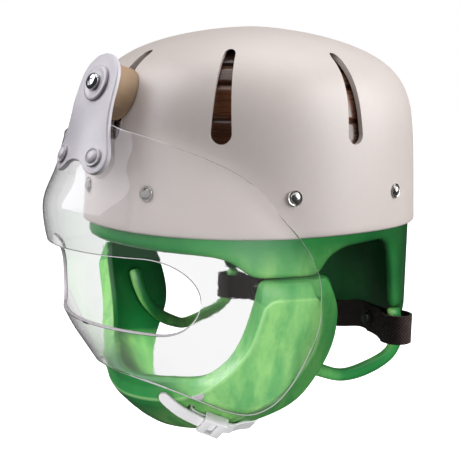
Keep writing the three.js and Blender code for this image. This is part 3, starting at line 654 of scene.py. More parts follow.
def clear_plastic():
    made, nodes, shader = material("clear_plastic")
    scratch = use(nodes, SCRATCHES, Amount=0.12)["Mask"]
    mottle = use(nodes, MOTTLE)
    haze = nodes.sum(nodes.remap(mottle["Fine"], 0, 1, *CLEAR_HAZE), scratch)
    normal = nodes.bump(use(nodes, GRAIN)["Height"], 0.03, FINE_DEPTH)
    nodes.into(shader, Base_Color=nodes.mix(mottle["Broad"], *CLEAR_TINT), Roughness=haze, Normal=normal)
    nodes.into(shader, Transmission_Weight=1.0, IOR=1.49)
    through = nodes.into(nodes.add("ShaderNodeBsdfTransparent"), Color=CLEAR_SHADOW)["BSDF"]
    blend = nodes.add("ShaderNodeMixShader")
    nodes.link(nodes.add("ShaderNodeLightPath").outputs["Is Shadow Ray"], blend.inputs["Fac"])
    nodes.link(shader.outputs["BSDF"], blend.inputs[1])
    nodes.link(through, blend.inputs[2])
    nodes.link(blend.outputs["Shader"], made.node_tree.nodes["Material Output"].inputs["Surface"])
    return made


def banded_liner():
    made, nodes, shader = material("liner_brown")
    at = nodes.split(nodes.place()["Object"])
    streak = nodes.noise(30, 3, 0.5, (1, 1, 16))
    tone = 0.0
    for level, low, high in LINER_TONES:
        height = (level - SEAT_HEIGHT) / 1000
        tone = nodes.sum(nodes.remap(at["Z"], height - LINER_BLUR, height + LINER_BLUR, low, high), tone)
    tone = nodes.sum(tone, nodes.remap(streak, *STREAK_RANGE, -0.12, 0.12))
    rough = nodes.remap(streak, *STREAK_RANGE, 0.2, 0.34)
    normal = nodes.bump(use(nodes, GRAIN)["Height"], 0.08, FINE_DEPTH)
    nodes.into(shader, Base_Color=nodes.mix(tone, *LINER_COLOURS), Roughness=rough, Normal=normal)
    nodes.into(shader, Coat_Weight=0.3, Coat_Roughness=0.12)
    return made


def webbing():
    made, nodes, shader = material("woven_webbing")
    weave = use(nodes, WEAVE)
    mottle = use(nodes, MOTTLE)
    thread = nodes.mix(weave["Mask"], *THREAD_COLOURS)
    colour = nodes.mix(nodes.times(mottle["Broad"], 0.4), thread, WEBBING_WORN)
    rough = nodes.remap(mottle["Fine"], 0, 1, 0.7, 0.9)
    normal = nodes.bump(weave["Height"], 0.8, WEAVE_DEPTH)
    nodes.into(shader, Base_Color=colour, Roughness=rough, Normal=normal)
    return made


SHELL_WHITE = coated(
    "shell_white", (0.69, 0.62, 0.59), (0.655, 0.587, 0.557), rough=0.42, spread=0.05, grain=0.03, scuff=0.05,
)
LINER_BROWN = banded_liner()
VINYL_GREEN = dipped_vinyl("vinyl_green")
LOOP_GREEN = dipped_vinyl("loop_green", LOOP_REAR)
TAB_WHITE = coated(
    "tab_white", (0.82, 0.78, 0.84), (0.75, 0.71, 0.78),
    rough=0.36, spread=0.06, grain=0.06, scuff=0.12, coat=0.15,
)
SPACER_TAN = coated(
    "spacer_tan", (0.52, 0.36, 0.22), (0.42, 0.28, 0.17), rough=0.66, spread=0.1, grain=0.3, scuff=0.15,
)
STEEL = coated(
    "rivet_steel", (0.62, 0.6, 0.58), (0.48, 0.46, 0.44),
    rough=0.26, spread=0.08, grain=0.08, scuff=0.25, metal=1.0,
)
CHROME = coated(
    "screw_chrome", (0.68, 0.68, 0.7), (0.5, 0.5, 0.52),
    rough=0.16, spread=0.06, grain=0.05, scuff=0.2, metal=1.0,
)
SNAP_BLACK = coated(
    "snap_black", (0.04, 0.036, 0.034), (0.018, 0.016, 0.015),
    rough=0.34, spread=0.1, grain=0.12, scuff=0.12, coat=0.2,
)
STRAP_WHITE = coated(
    "strap_white", (0.86, 0.85, 0.86), (0.78, 0.77, 0.78),
    rough=0.36, spread=0.08, grain=0.12, scuff=0.15, coat=0.1,
)
CLEAR = clear_plastic()
CLEAR_EDGE = coated(
    "clear_plastic_edge", (0.8, 0.75, 0.8), (0.7, 0.65, 0.7),
    rough=0.3, spread=0.08, grain=0.1, scuff=0.2, coat=0.2,
)
WEBBING_DARK = webbing()


# Shell and lining
def plan(angle, half_width, half_length, power):
    s = np.sin(angle)
    c = np.cos(angle)
    x = half_width * np.sign(s) * np.abs(s) ** power
    y = -half_length * np.sign(c) * np.abs(c) ** power
    return x, y


def shell_scale(share):
    share = np.clip(share, 0, 1)
    return (1 - share**TOP_POWER) ** (1 / SIDE_POWER) * (1 - TAPER * share)


def shell_point(angle, z, grow):
    x, y = plan(angle, SHELL["half_width"] + grow, SHELL["half_length"] + grow, PLAN_POWER)
    scale = shell_scale(z / (SHELL["height"] + grow))
    return np.stack(np.broadcast_arrays(x * scale, y * scale, z + 0 * angle), -1)


def shell_spot(angle, z):
    return shell_point(np.array([angle]), np.array([z]), 0)[0]


def dome_shares(count, start):
    share = np.linspace(start, 1, DOME_SAMPLES)
    across = shell_scale(share) * SHELL["half_width"]
    up = share * SHELL["height"]
    length = travelled(np.stack([across, up], 1))
    return np.interp(np.linspace(0, length[-1], count + 1), length, share)[:-1]


# Each face of the wall has its offset from the shell at a height, and its offset at the top
def dome_wall(outside, inside, bottom, rows, columns):
    angle = np.linspace(-math.pi, math.pi, columns, endpoint=False)
    half = (outside[1] - inside[1]) / 2
    rings = []
    top_out = SHELL["height"] + outside[1]
    top_in = SHELL["height"] + inside[1]
    for share in dome_shares(rows, (bottom + half) / top_out)[::-1]:
        z = share * top_out
        rings.append(shell_point(angle, z, outside[0](z)))
    for turn in np.linspace(0, math.pi, EDGE_STEPS)[1:-1]:
        grow = (outside[1] + inside[1]) / 2 + half * math.cos(turn)
        rings.append(shell_point(angle, bottom + half - half * math.sin(turn), grow))
    for share in dome_shares(rows, (bottom + half) / top_in):
        z = share * top_in
        rings.append(shell_point(angle, z, inside[0](z)))
    return loft(rings, ends=[(0, 0, top_out), (0, 0, top_in)])


def slot_cutters():
    low = SLOT["bottom"] + SLOT["low_radius"]
    high = SLOT["top"] - SLOT["high_radius"]
    ends = (
        (SLOT["high_radius"], high, np.linspace(0, math.pi, 13)),
        (SLOT["low_radius"], low, np.linspace(math.pi, 2 * math.pi, 17)),
    )
    outline = []
    for radius, level, turns in ends:
        outline += [(radius * math.cos(turn), level + radius * math.sin(turn)) for turn in turns]
    cutters = []
    for degrees in SLOT_ANGLES:
        outward = unit(shell_spot(math.radians(degrees), SLOT["aim"]) * (1, 1, 0))
        side = np.cross(UP, outward)
        rings = [[side * a + UP * b + outward * reach for a, b in outline] for reach in SLOT_REACH]
        cutters.append(closed_mesh("slot_cutter", loft(rings)))
    return cutters


def build_shell():
    outside = (lambda z: 0.0, 0.0)
    inside = (lambda z: -SHELL["wall"], -SHELL["wall"])
    mesh = closed_mesh("outer_shell", dome_wall(outside, inside, 0, SHELL_ROWS, SHELL_COLUMNS))
    mesh = cut_mesh(mesh, slot_cutters())
    add_piece("outer_shell", mesh, SHELL_WHITE, "shell", crease=38)


def rib_depth(z):
    near = min(abs(z - level) for level in RIB_LEVELS)
    return RIB_GROOVE * math.exp(-((near / RIB_HALF) ** 2))


def build_crown_liner():
    outside = (lambda z: LINER_OUTSIDE - rib_depth(z), LINER_OUTSIDE)
    inside_grow = LINER_OUTSIDE - LINER_WALL
    inside = (lambda z: inside_grow + 0.7 * rib_depth(z), inside_grow)
    body = dome_wall(outside, inside, LINER_BOTTOM, *LINER_GRID)
    add_piece("ribbed_crown_liner", body, LINER_BROWN, "crown_liner")


# The lower edge is laid flat, evened out and softened, then rolled back onto the shell's form
def build_head_band():
    edge = read_table(BAND_EDGE, 1)
    degrees = np.linspace(-180, 180, BAND_SAMPLES + 1)[:-1]
    line = np.stack([np.radians(degrees) * BAND_RADIUS, edge(np.abs(degrees))], 1)
    turn = 2 * math.pi * BAND_RADIUS
    wide = np.vstack([line[-BAND_LAP:] - (turn, 0), line, line[:BAND_LAP] + (turn, 0)])
    length = travelled(wide)
    at = np.linspace(length[BAND_LAP], length[BAND_LAP + len(line)], BAND_COLUMNS, endpoint=False)
    border = np.stack([np.interp(at, length, wide[:, k]) for k in (0, 1)], 1)
    drift = np.stack([np.linspace(0, turn, BAND_COLUMNS, endpoint=False), np.zeros(BAND_COLUMNS)], 1)
    border = soften(border - drift, BAND_PASSES, True) + drift
    ahead = np.roll(border, -1, 0)
    behind = np.roll(border, 1, 0)
    ahead[-1, 0] += turn
    behind[0, 0] -= turn
    along = unit(ahead - behind)
    outward = np.stack([along[:, 1], -along[:, 0]], 1)
    half = LINER_WALL / 2
    middle = LINER_OUTSIDE - half
    rings = []

    def ring_at(flat, grow):
        return shell_point(flat[:, 0] / BAND_RADIUS, flat[:, 1], grow)

    def rows_up(grow, levels):
        base = border - half * outward
        for share in levels:
            flat = base.copy()
            flat[:, 0] = base[:, 0] + (border[:, 0] - base[:, 0]) * share
            flat[:, 1] = base[:, 1] + (BAND_TOP - half - base[:, 1]) * share
            rings.append(ring_at(flat, grow))

    rows_up(middle + half, np.linspace(1, 0, BAND_ROWS))
    for angle in np.linspace(0, math.pi, EDGE_STEPS)[1:-1]:
        flat = border - half * (1 - math.sin(angle)) * outward
        rings.append(ring_at(flat, middle + half * math.cos(angle)))
    rows_up(middle - half, np.linspace(0, 1, BAND_ROWS))
    for angle in np.linspace(math.pi, 0, EDGE_STEPS)[1:-1]:
        flat = border.copy()
        flat[:, 1] = BAND_TOP - half + half * math.sin(angle)
        rings.append(ring_at(flat, middle + half * math.cos(angle)))
    body = Body(rings, grid_faces(len(rings), BAND_COLUMNS, True, True))
    add_piece("padded_head_band", body, VINYL_GREEN, "head_band")


# Chin guard, loops and chin strap
def mirrored(rows):
    rows = list(rows)
    return rows + [(-x, y, z) for x, y, z in rows[-2::-1]]


def chin_lines(stations):
    return even_curve(mirrored(CHIN_FRONT), stations), even_curve(mirrored(CHIN_REAR), stations)


def chin_sections(stations):
    stations = np.atleast_1d(np.asarray(stations, float))
    front, rear = chin_lines(stations)
    front_after, rear_after = chin_lines(np.minimum(stations + CHIN_TANGENT, CHIN_SPANS))
    front_before, rear_before = chin_lines(np.maximum(stations - CHIN_TANGENT, 0))
    along = unit(front_after + rear_after - front_before - rear_before)
    across = rear - front
    width = np.linalg.norm(across, axis=1)
    across = unit(across)
    facing = unit(np.cross(along, across))
    return front, across, facing, along, width


def chin_outline(width, grow, station, rise=1.0, corner=0.0):
    square = 1 - smoothstep(min(station, CHIN_SPANS - station), *CHIN_SQUARE)
    low = -CHIN["depth"] - grow
    front_low = low + CHIN["lift"] * square
    high = CHIN["raise"] * rise + grow
    start = -grow
    end = width + grow
    bevel = CHIN["bevel"]
    front = bevel + (CHIN["edge"] - bevel) * square
    ease = CHIN["ease"]
    crown = CHIN["crown"]
    hollow = (CHIN_HOLLOW[0] + CHIN_HOLLOW[1] * square) * high
    aside, lift = CHIN_SHOULDER
    cheek = square * np.array(CHEEK_SLOPE)
    outline = [
        (start + ease, front_low), (0.5 * width, 0.5 * (low + front_low)), (end - ease, low),
        (end, low + ease), (end, 0), (end - aside * bevel + cheek[0], lift * high),
        (end - bevel - cheek[1], high),
    ]
    outline += [(share * width, high + tall * crown) for share, tall in CHIN_FACE]
    outline += [
        (start + front + corner, high + 0.5 * crown * square), (start + aside * front, hollow),
        (start, 0.1), (start, front_low + ease),
    ]
    return round_corners(outline, CREASE_RADIUS)


def corner_marks(corners):
    return np.repeat([MARK if k in corners else 0.0 for k in range(CHIN_CORNERS)], CORNER_STEPS + 1)


def chin_mesh(name, grow):
    stations = np.linspace(0, CHIN_SPANS, CHIN_SPANS * CHIN_STEPS + 1)
    if grow == 0:
        lead = np.array(CHIN_LEAD)
        stations = np.unique(np.concatenate([stations, lead, CHIN_SPANS - lead]))
    front, across, facing, along, width = chin_sections(stations)
    travel = travelled(front + across * width[:, None] / 2)
    near = np.minimum(travel, travel[-1] - travel)
    # The run layer marks the creases that get a pale painted highlight in X and the slopes kept out of the
    # painted light in Y
    runs = np.zeros((len(stations), CHIN_CORNERS * (CORNER_STEPS + 1), 2))
    runs[:, :, 0] = corner_marks(CREASE_CORNERS)
    runs[:, :, 1] = corner_marks(REAR_CORNERS)
    first, last = [k * (CORNER_STEPS + 1) for k in CREASE_CORNERS]
    runs[:, first : first + 2, 1] = MARK
    rise = np.ones(len(stations))
    corner = np.zeros(len(stations))
    if grow == 0:
        end, low = CHEEK_END
        rise = np.minimum(low + (1 - low) * near / end, 1.0)
        left = CHEEK_ROUND - np.clip(near - end, 0, CHEEK_ROUND)
        corner = CHEEK_ROUND - np.sqrt(CHEEK_ROUND**2 - left**2)
        # Near the ends the slopes are kept out of the painted light, and just past them a pale painted
        # highlight runs along the top edge
        runs[near < end] = (0.0, MARK)
        runs[near < end + 0.6 * CHEEK_ROUND, last + CORNER_STEPS :, 1] = MARK
        edge = (near >= end) & (near < end + CHEEK_EDGE)
        runs[edge, first : last + 1, 0] = MARK
    rings = []
    for i in range(len(stations)):
        reach = 0.0
        outline = chin_outline(width[i], grow, stations[i], rise[i], corner[i])
        if grow == 0:
            inset = CHIN_END - math.sqrt(CHIN_END**2 - (CHIN_END - min(near[i], CHIN_END)) ** 2)
            centre = np.array((width[i] / 2, (CHIN["raise"] - CHIN["depth"]) / 2))
            span = np.array((width[i] / 2, (CHIN["raise"] + CHIN["depth"]) / 2))
            outline = centre + (outline - centre) * (1 - 0.8 * inset / span)
        elif i in (0, len(stations) - 1):
            reach = -grow if i == 0 else grow
        ring = front[i] + outline[:, :1] * across[i] + outline[:, 1:] * facing[i] + reach * along[i]
        rings.append(ring)
    return closed_mesh(name, loft(rings, runs))


STRAP_LEVEL = CHIN["raise"] + CHIN["crown"] + STRAP["clear"] + STRAP["thickness"] / 2
STRAP_INNER = -CHIN["depth"] - STRAP["clear"] - STRAP["thickness"] / 2


def strap_place(share, out, past=0.0):
    station = STRAP["station"] - (share - STRAP["slot"]) * STRAP["slant"]
    front, across, facing, along, width = chin_sections(station)
    return front[0] + across[0] * (share * width[0] + past) + facing[0] * out, facing[0]


def strap_side():
    facing = strap_place(0.65, 0)[1]
    heading = unit(strap_place(0.8, 0)[0] - strap_place(0.5, 0)[0])
    return unit(np.cross(facing, heading))


def ribbon(path, side_axis, width, thickness, taper=None):
    path = np.asarray(path, float)
    along = unit(np.gradient(path, axis=0))
    side = unit(side_axis - along * (along @ side_axis)[:, None])
    facing = np.cross(along, side)
    travel = travelled(path)
    edge = thickness / 2
    outline = [(s, edge) for s in np.linspace(-1, 1, 7)]
    outline += [(1, 0.45 * edge), (1, -0.45 * edge)]
    outline += [(s, -edge) for s in np.linspace(1, -1, 7)]
    outline += [(-1, -0.45 * edge), (-1, 0.45 * edge)]
    outline = np.array(outline)
    full = np.ones(len(path)) if taper is None else taper(travel, travel[-1])
    trim = np.where(np.abs(outline[:, 1]) < 0.9 * edge, 0.0, -0.3 * edge) * np.sign(outline[:, 0])
    trim = np.where(np.abs(outline[:, 0]) > 0.99, trim, 0)
    rings = []
    runs = []
    for i in range(len(path)):
        aside = (outline[:, 0] * width / 2) * full[i] + trim
        rings.append(path[i] + aside[:, None] * side[i] + outline[:, 1:] * facing[i])
        runs.append(np.stack([aside + width, np.full(len(aside), travel[i] + 5)], 1))
    return loft(rings, runs)


def rounded_end(travel, total):
    left = np.clip((total - travel) / (STRAP["width"] / 2), 0, 1)
    return np.maximum(np.sqrt(1 - (1 - left) ** 2), 0.12)


def build_chin_strap():
    slot = STRAP["slot"]
    level = STRAP_LEVEL
    inner = STRAP_INNER
    rise = CHIN["raise"]
    knots = [
        (slot, inner + 1), (slot, -3), (slot, rise - 2), (slot + 0.015, level - 0.8), (slot + 0.06, level),
        (0.64, level), (0.8, level), (0.9, 0.8 * rise + STRAP["clear"]), (1, 0.3 * rise, 2.6),
        (1, -0.5 * CHIN["depth"], 2.4), (0.98, inner + 0.5), (0.86, inner), (0.64, inner),
        (slot + 0.06, inner), (slot - 0.02, inner),
    ]
    path = eased_path([strap_place(*knot)[0] for knot in knots], 8)
    side = strap_side()
    size = (STRAP["width"], STRAP["thickness"])
    band = closed_mesh("chin_strap_band", ribbon(path, side, *size))
    top = level + STRAP["thickness"] + TAIL_GAP
    knots = [
        (0.83, level - 0.1), (0.76, level + 0.6 * STRAP["thickness"]), (0.66, top), (0.45, top),
        (0.28, top - 1.2), (0.14, top - 3.8), (STRAP["reach"], top - 6.4),
    ]
    path = even_spacing(eased_path([strap_place(*knot)[0] for knot in knots], 10), 90, False)
    tail = closed_mesh("chin_strap_tail", ribbon(path, side, *size, rounded_end))
    mesh = cut_mesh(band, [tail], "UNION")
    add_piece("white_chin_strap", mesh, STRAP_WHITE, "chin_strap", crease=50)


def rounded_box(size, place, axes, steps=3, ease=0.6):
    half = np.array(size) / 2
    outline = []
    for sx, sy, first in ((1, 1, 0), (-1, 1, 1), (-1, -1, 2), (1, -1, 3)):
        for turn in np.linspace(first * math.pi / 2, (first + 1) * math.pi / 2, steps + 1):
            corner = (sx * (half[0] - ease), sy * (half[1] - ease))
            outline.append((corner[0] + ease * math.cos(turn), corner[1] + ease * math.sin(turn)))
    outline = np.array(outline)
    rings = []
    for z, inset in ((-1, ease), (-1, 0.3 * ease), (-1, 0), (1, 0), (1, 0.3 * ease), (1, ease)):
        depth = half[2] - (0 if inset == ease else (0.3 * ease if inset else ease))
        flat = outline * (1 - inset / half[:2])
        rings.append(place + flat[:, :1] * axes[0] + flat[:, 1:] * axes[1] + z * depth * axes[2])
    return loft(rings)


def build_chin_buckle():
    place, facing = strap_place(BUCKLE["at"], STRAP_LEVEL)
    side = strap_side()
    along = unit(np.cross(facing, side))
    axes = (-side, facing, along)
    in_x = STRAP["width"] / 2 + BUCKLE["clear"]
    low = -STRAP["thickness"] / 2 - BUCKLE["below"]
    high = 1.5 * STRAP["thickness"] + TAIL_GAP + BUCKLE["clear"]
    wall = BUCKLE["wall"]
    length = BUCKLE["length"]
    centre = place + along * length / 2

    def block(x, y, z, size):
        where = centre + axes[0] * x + axes[1] * y + axes[2] * z
        return closed_mesh("buckle_block", rounded_box(size, where, axes))

    cheek = (wall, high - low + wall, length)
    mesh = block(in_x + wall / 2, (low + high + wall) / 2, 0, cheek)
    parts = [
        block(-in_x - wall / 2, (low + high + wall) / 2, 0, cheek),
        block(0, high + wall / 2, 0.33 * length, (2 * in_x + wall, wall, 0.34 * length)),
        block(0, high + wall / 2, -0.3 * length, (2 * in_x + wall, wall, 0.4 * length)),
    ]
    mesh = cut_mesh(mesh, parts, "UNION")
    add_piece("ladder_buckle", mesh, STRAP_WHITE, "chin_buckle", crease=40)


def build_chin_guard():
    mesh = chin_mesh("padded_chin_guard", 0)
    place, facing = strap_place(STRAP["slot"], 0)
    side = strap_side()
    across = unit(np.cross(side, facing))
    clear = STRAP["slot_clear"]
    size = (STRAP["thickness"] + clear, STRAP["width"] + clear, 60)
    axes = (across, np.cross(facing, across), facing)
    slot = closed_mesh("strap_slot", rounded_box(size, place, axes))
    mesh = cut_mesh(mesh, [slot])
    add_piece("padded_chin_guard", mesh, VINYL_GREEN, "chin_guard", crease=60)


def tube(path, radius, sides):
    path = np.asarray(path, float)
    along = unit(np.gradient(path, axis=0))
    side = unit(np.cross(along[0], (0.2, 1, 0.1)))
    turn = np.linspace(0, 2 * math.pi, sides, endpoint=False)
    rings = []
    for i in range(len(path)):
        side = unit(side - along[i] * (along[i] @ side))
        third = np.cross(along[i], side)
        ring = np.cos(turn)[:, None] * side + np.sin(turn)[:, None] * third
        rings.append(path[i] + radius[i] * ring)
    return loft(rings)


def build_ear_loops(guard_clearance):
    for name, hand in HANDS:
        path = even_spacing(eased_path(LOOP_PATH, 12), LOOP_POINTS, False) * (hand, 1, 1)
        share = np.linspace(0, 1, len(path))
        swell = LOOP["swell"] * np.cos(2 * math.pi * LOOP["waves"] * share)
        radius = LOOP["radius"] * (1 + swell) - LOOP["trim"]
        step = np.arange(len(path))
        near = np.minimum(np.minimum(step, step[::-1]) / LOOP["end_steps"], 1)
        end = LOOP["end_share"]
        radius = radius * (end + (1 - end) * np.sqrt(1 - (1 - near) ** 2))
        mesh = closed_mesh(f"ear_loop_pad_{name}", tube(path, radius, LOOP_SIDES))
        mesh = cut_mesh(mesh, [guard_clearance.copy()])
        node = f"ear_loop_{name}"
        add_piece(f"ear_loop_pad_{name}", mesh, LOOP_GREEN, node, crease=60)


# Faceguard
def faired(rows, column):
    levels = [row[0] for row in rows]
    fine = np.arange(min(levels), max(levels) + 0.5)
    smooth = soften(read_table(rows, column)(fine)[:, None], GUARD_FAIRING, False)[:, 0]
    return lambda z: np.interp(z, fine, smooth)


guard_front = faired(GUARD_LEVELS, 1)
guard_side = faired(GUARD_LEVELS, 2)


def tab_bend(v):
    return smoothstep(-v, TAB_BEND[0], TAB_BEND[1])


def guard_point(angle, z, inset):
    front = guard_front(z) - inset
    x, y = plan(angle, guard_side(z) - inset, front, GUARD_POWER)
    round_out = tab_bend((z - TAB_SCREW[2]) / math.cos(TAB_LEAN))
    return np.stack([x, -front + (y + front) * round_out, z], -1)


def guard_normal(angle, z):
    turn = 0.004
    rise = 0.4
    around = guard_point(angle + turn, z, 0) - guard_point(angle - turn, z, 0)
    above = guard_point(angle, z + rise, 0) - guard_point(angle, z - rise, 0)
    return unit(np.cross(around, above))


def mark_sawn_edges(mesh):
    mesh.materials.append(CLEAR_EDGE)
    run = mesh.uv_layers["run"].data
    for face in mesh.polygons:
        sawn = [run[k].uv[0] for k in face.loop_indices]
        if min(sawn) > 0.5:
            face.material_index = 1


# The sheet is laid flat as rings from the window to the outer edge, then bent to its section
def build_faceguard(guard_clearance):
    middle = np.array(GUARD_MIDDLE)
    degrees = np.linspace(-GUARD_EDGE[-1][0], GUARD_EDGE[-1][0], 400)
    top = read_table(GUARD_EDGE, 1)(np.abs(degrees))
    bottom = read_table(GUARD_EDGE, 2)(np.abs(degrees))
    across = np.radians(degrees) * GUARD_FLAT
    outer = np.vstack([np.stack([across, top], 1), np.stack([across, bottom], 1)[::-1]])
    outer = soften(even_spacing(outer, GUARD_SAMPLES, True), GUARD_PASSES, True)
    radius = (WINDOW["top"] - WINDOW["bottom"]) / 2
    end = WINDOW["half_width"] - radius
    centre_z = (WINDOW["top"] + WINDOW["bottom"]) / 2
    flat = []
    for hand, first in ((1, math.pi / 2), (-1, -math.pi / 2)):
        for turn in np.linspace(first, first - math.pi, 60):
            flat.append((hand * end + radius * math.cos(turn), centre_z + radius * math.sin(turn)))
    flat = even_spacing(np.array(flat), GUARD_SAMPLES, True)
    half = guard_side(flat[:, 1])
    sine = np.clip(np.abs(flat[:, 0]) / half, 0, 1) ** (1 / GUARD_POWER)
    window = np.stack([np.sign(flat[:, 0]) * np.arcsin(sine) * GUARD_FLAT, flat[:, 1]], 1)

    def by_direction(line):
        aim = np.arctan2(line[:, 1] - middle[1], line[:, 0] - middle[0])
        order = np.argsort(aim)
        aim = aim[order]
        line = line[order]
        aim = np.concatenate([aim[-3:] - 2 * math.pi, aim, aim[:3] + 2 * math.pi])
        line = np.vstack([line[-3:], line, line[:3]])
        return np.stack([np.interp(directions, aim, line[:, k]) for k in (0, 1)], 1)

    aim = np.unwrap(np.arctan2(outer[:, 1] - middle[1], outer[:, 0] - middle[0]))
    if aim[-1] < aim[0]:
        aim = aim[::-1]
    even = np.interp(np.linspace(0, len(aim) - 1, GUARD_COLUMNS + 1)[:-1], np.arange(len(aim)), aim)
    directions = np.sort((even + math.pi) % (2 * math.pi) - math.pi)
    outer = by_direction(outer)
    window = by_direction(window)
    away = outer - window
    length = np.linalg.norm(away, axis=1, keepdims=True)

    def ring(share, inset, past):
        flat = window + away * share + away / length * past
        angle = flat[:, 0] / GUARD_FLAT
        return guard_point(angle, flat[:, 1], 0) - inset * guard_normal(angle, flat[:, 1])

    rings = [ring(share, 0, 0) for share in np.linspace(0, 1, GUARD_ROWS)]
    steps = list(SAWN_EASE) + [(GUARD_WALL - inset, past) for inset, past in SAWN_EASE[::-1]]
    rings += [ring(1, inset, past) for inset, past in steps]
    rings += [ring(share, GUARD_WALL, 0) for share in np.linspace(1, 0, GUARD_ROWS)]
    rings += [ring(0, inset, -past) for inset, past in steps[::-1]]
    sawn = 2 * ([0.0] * GUARD_ROWS + [MARK] * len(steps))
    runs = np.stack(np.broadcast_arrays(np.array(sawn)[:, None], np.zeros((1, len(directions)))), -1)
    body = Body(rings, grid_faces(len(rings), len(directions), True, True), runs)
    mesh = closed_mesh("clear_faceguard", body)
    mesh = cut_mesh(mesh, [guard_clearance.copy()] + tab_rivet_bores())
    add_piece("clear_faceguard", mesh, CLEAR, "faceguard", crease=42)
    mark_sawn_edges(mesh)


# Tab and its fastenings
TAB_OUT = np.array((0, -math.cos(TAB_LEAN), math.sin(TAB_LEAN)))
TAB_UP = np.array((0, math.sin(TAB_LEAN), math.cos(TAB_LEAN)))
TAB_RIGHT = np.array((1.0, 0, 0))


def tab_point(u, v, n):
    u, v, n = np.broadcast_arrays(np.asarray(u, float), np.asarray(v, float), np.asarray(n, float))
    bend = tab_bend(v) * u * u / (2 * TAB_BEND[2])
    flat = TAB_SCREW + u[..., None] * TAB_RIGHT + v[..., None] * TAB_UP
    return flat + (n - bend)[..., None] * TAB_OUT


def tab_rivet_frame(hand):
    u, v = TAB_RIVETS
    u = u * hand
    here = tab_point(u, v, 0)
    aside = tab_point(u + 0.5, v, 0) - tab_point(u - 0.5, v, 0)
    above = tab_point(u, v + 0.5, 0) - tab_point(u, v - 0.5, 0)
    return here, unit(np.cross(aside, above))


def bore(radius, sides, place, out):
    profile = [(radius, reach) for reach in BORE_REACH]
    return closed_mesh("bore", turned(profile, sides, place, out))


def tab_rivet_bores():
    return [bore(RIVET_BORE, 24, *tab_rivet_frame(hand)) for hand in (1, -1)]


def build_tab():
    right = np.array(TAB_HALF_OUTLINE)
    outline = np.vstack([right, right[-2:0:-1] * (-1, 1)])
    outline = even_spacing(eased_path(np.vstack([outline, outline[:1]]), 10)[:-1], TAB_POINTS, True)
    spine = np.stack([0 * outline[:, 0], np.clip(outline[:, 1], *TAB_SPINE)], 1)
    inward = unit(spine - outline)

    def face(share, level):
        flat = spine + (outline + inward * TAB_EASE - spine) * share
        return tab_point(flat[:, 0], flat[:, 1], level)

    def rim(turn, level, way):
        flat = outline + inward * TAB_EASE * (1 - math.sin(turn))
        return tab_point(flat[:, 0], flat[:, 1], level + way * TAB_EASE * (1 - math.cos(turn)))

    turns = np.linspace(0, math.pi / 2, 5)
    rings = [face(share, 0) for share in TAB_SHARES] + [rim(turn, 0, -1) for turn in turns]
    rings += [rim(turn, -TAB_WALL, 1) for turn in turns[::-1]]
    rings += [face(share, -TAB_WALL) for share in TAB_SHARES[::-1]]
    body = Body(rings, grid_faces(len(rings), len(outline), False, True))
    mesh = closed_mesh("white_tab", body)
    mesh = cut_mesh(mesh, [bore(SCREW_BORE, 28, TAB_SCREW, TAB_OUT)] + tab_rivet_bores())
    add_piece("white_tab", mesh, TAB_WHITE, "faceguard_tab", crease=50)


def tab_circle(sides):
    turn = np.linspace(0, 2 * math.pi, sides, endpoint=False)
    return np.cos(turn)[:, None] * TAB_RIGHT + np.sin(turn)[:, None] * TAB_UP


def in_shell(here):
    share = here[2] / SHELL["height"]
    scale = shell_scale(share)
    wide = (abs(here[0]) / (SHELL["half_width"] * scale + 1e-9)) ** (2 / PLAN_POWER)
    long = (abs(here[1]) / (SHELL["half_length"] * scale + 1e-9)) ** (2 / PLAN_POWER)
    return share >= 1 or wide + long <= 1


# The puck's back follows the dome, found by stepping in from the tab
def build_puck():
    front = -TAB_WALL - PUCK["gap"]
    radius = PUCK["radius"]
    ring = tab_circle(RING_SIDES)
    reach = []
    for aside in ring:
        depth = front
        while depth > PUCK["deepest"] and not in_shell(TAB_SCREW + radius * aside + depth * TAB_OUT):
            depth -= PUCK["step"]
        reach.append(depth + PUCK["clear"])
    reach = np.array(reach)[:, None]
    rings = []
    for size, share in zip((PUCK["bore"], 0.5 * radius, 0.92 * radius, 0.98 * radius), (0, 0, 0, 0.03)):
        rings.append(TAB_SCREW + size * ring + (front + share * (reach - front)) * TAB_OUT)
    for share in np.linspace(0.1, 0.9, 9):
        waist = radius * (1 - PUCK["waist"] * math.sin(math.pi * share) ** 2)
        rings.append(TAB_SCREW + waist * ring + (front + share * (reach - front)) * TAB_OUT)
    rings.append(TAB_SCREW + 0.985 * radius * ring + reach * TAB_OUT)
    flat_back = reach.max() + 0 * reach
    rings.append(TAB_SCREW + 0.8 * radius * ring + (0.5 * reach + 0.5 * flat_back) * TAB_OUT)
    rings.append(TAB_SCREW + PUCK["bore"] * ring + flat_back * TAB_OUT)
    body = Body(rings, grid_faces(len(rings), len(ring), True, True))
    add_piece("rubber_spacer", body, SPACER_TAN, "spacer_puck", crease=50)


def dome_head(radius, rise, rim):
    profile = [(0.93 * radius, 0), (radius, 0.15 * rim), (radius, 0.7 * rim), (0.95 * radius, rim)]
    profile += [(0.8 * radius, 0.92 * rim), (0.74 * radius, 0.62 * rim)]
    for turn in np.linspace(0, math.pi / 2, 9)[:-1]:
        profile.append((0.7 * radius * math.cos(turn), 0.66 * rim + (rise - 0.66 * rim) * math.sin(turn)))
    profile.append((0.02 * radius, rise))
    return profile


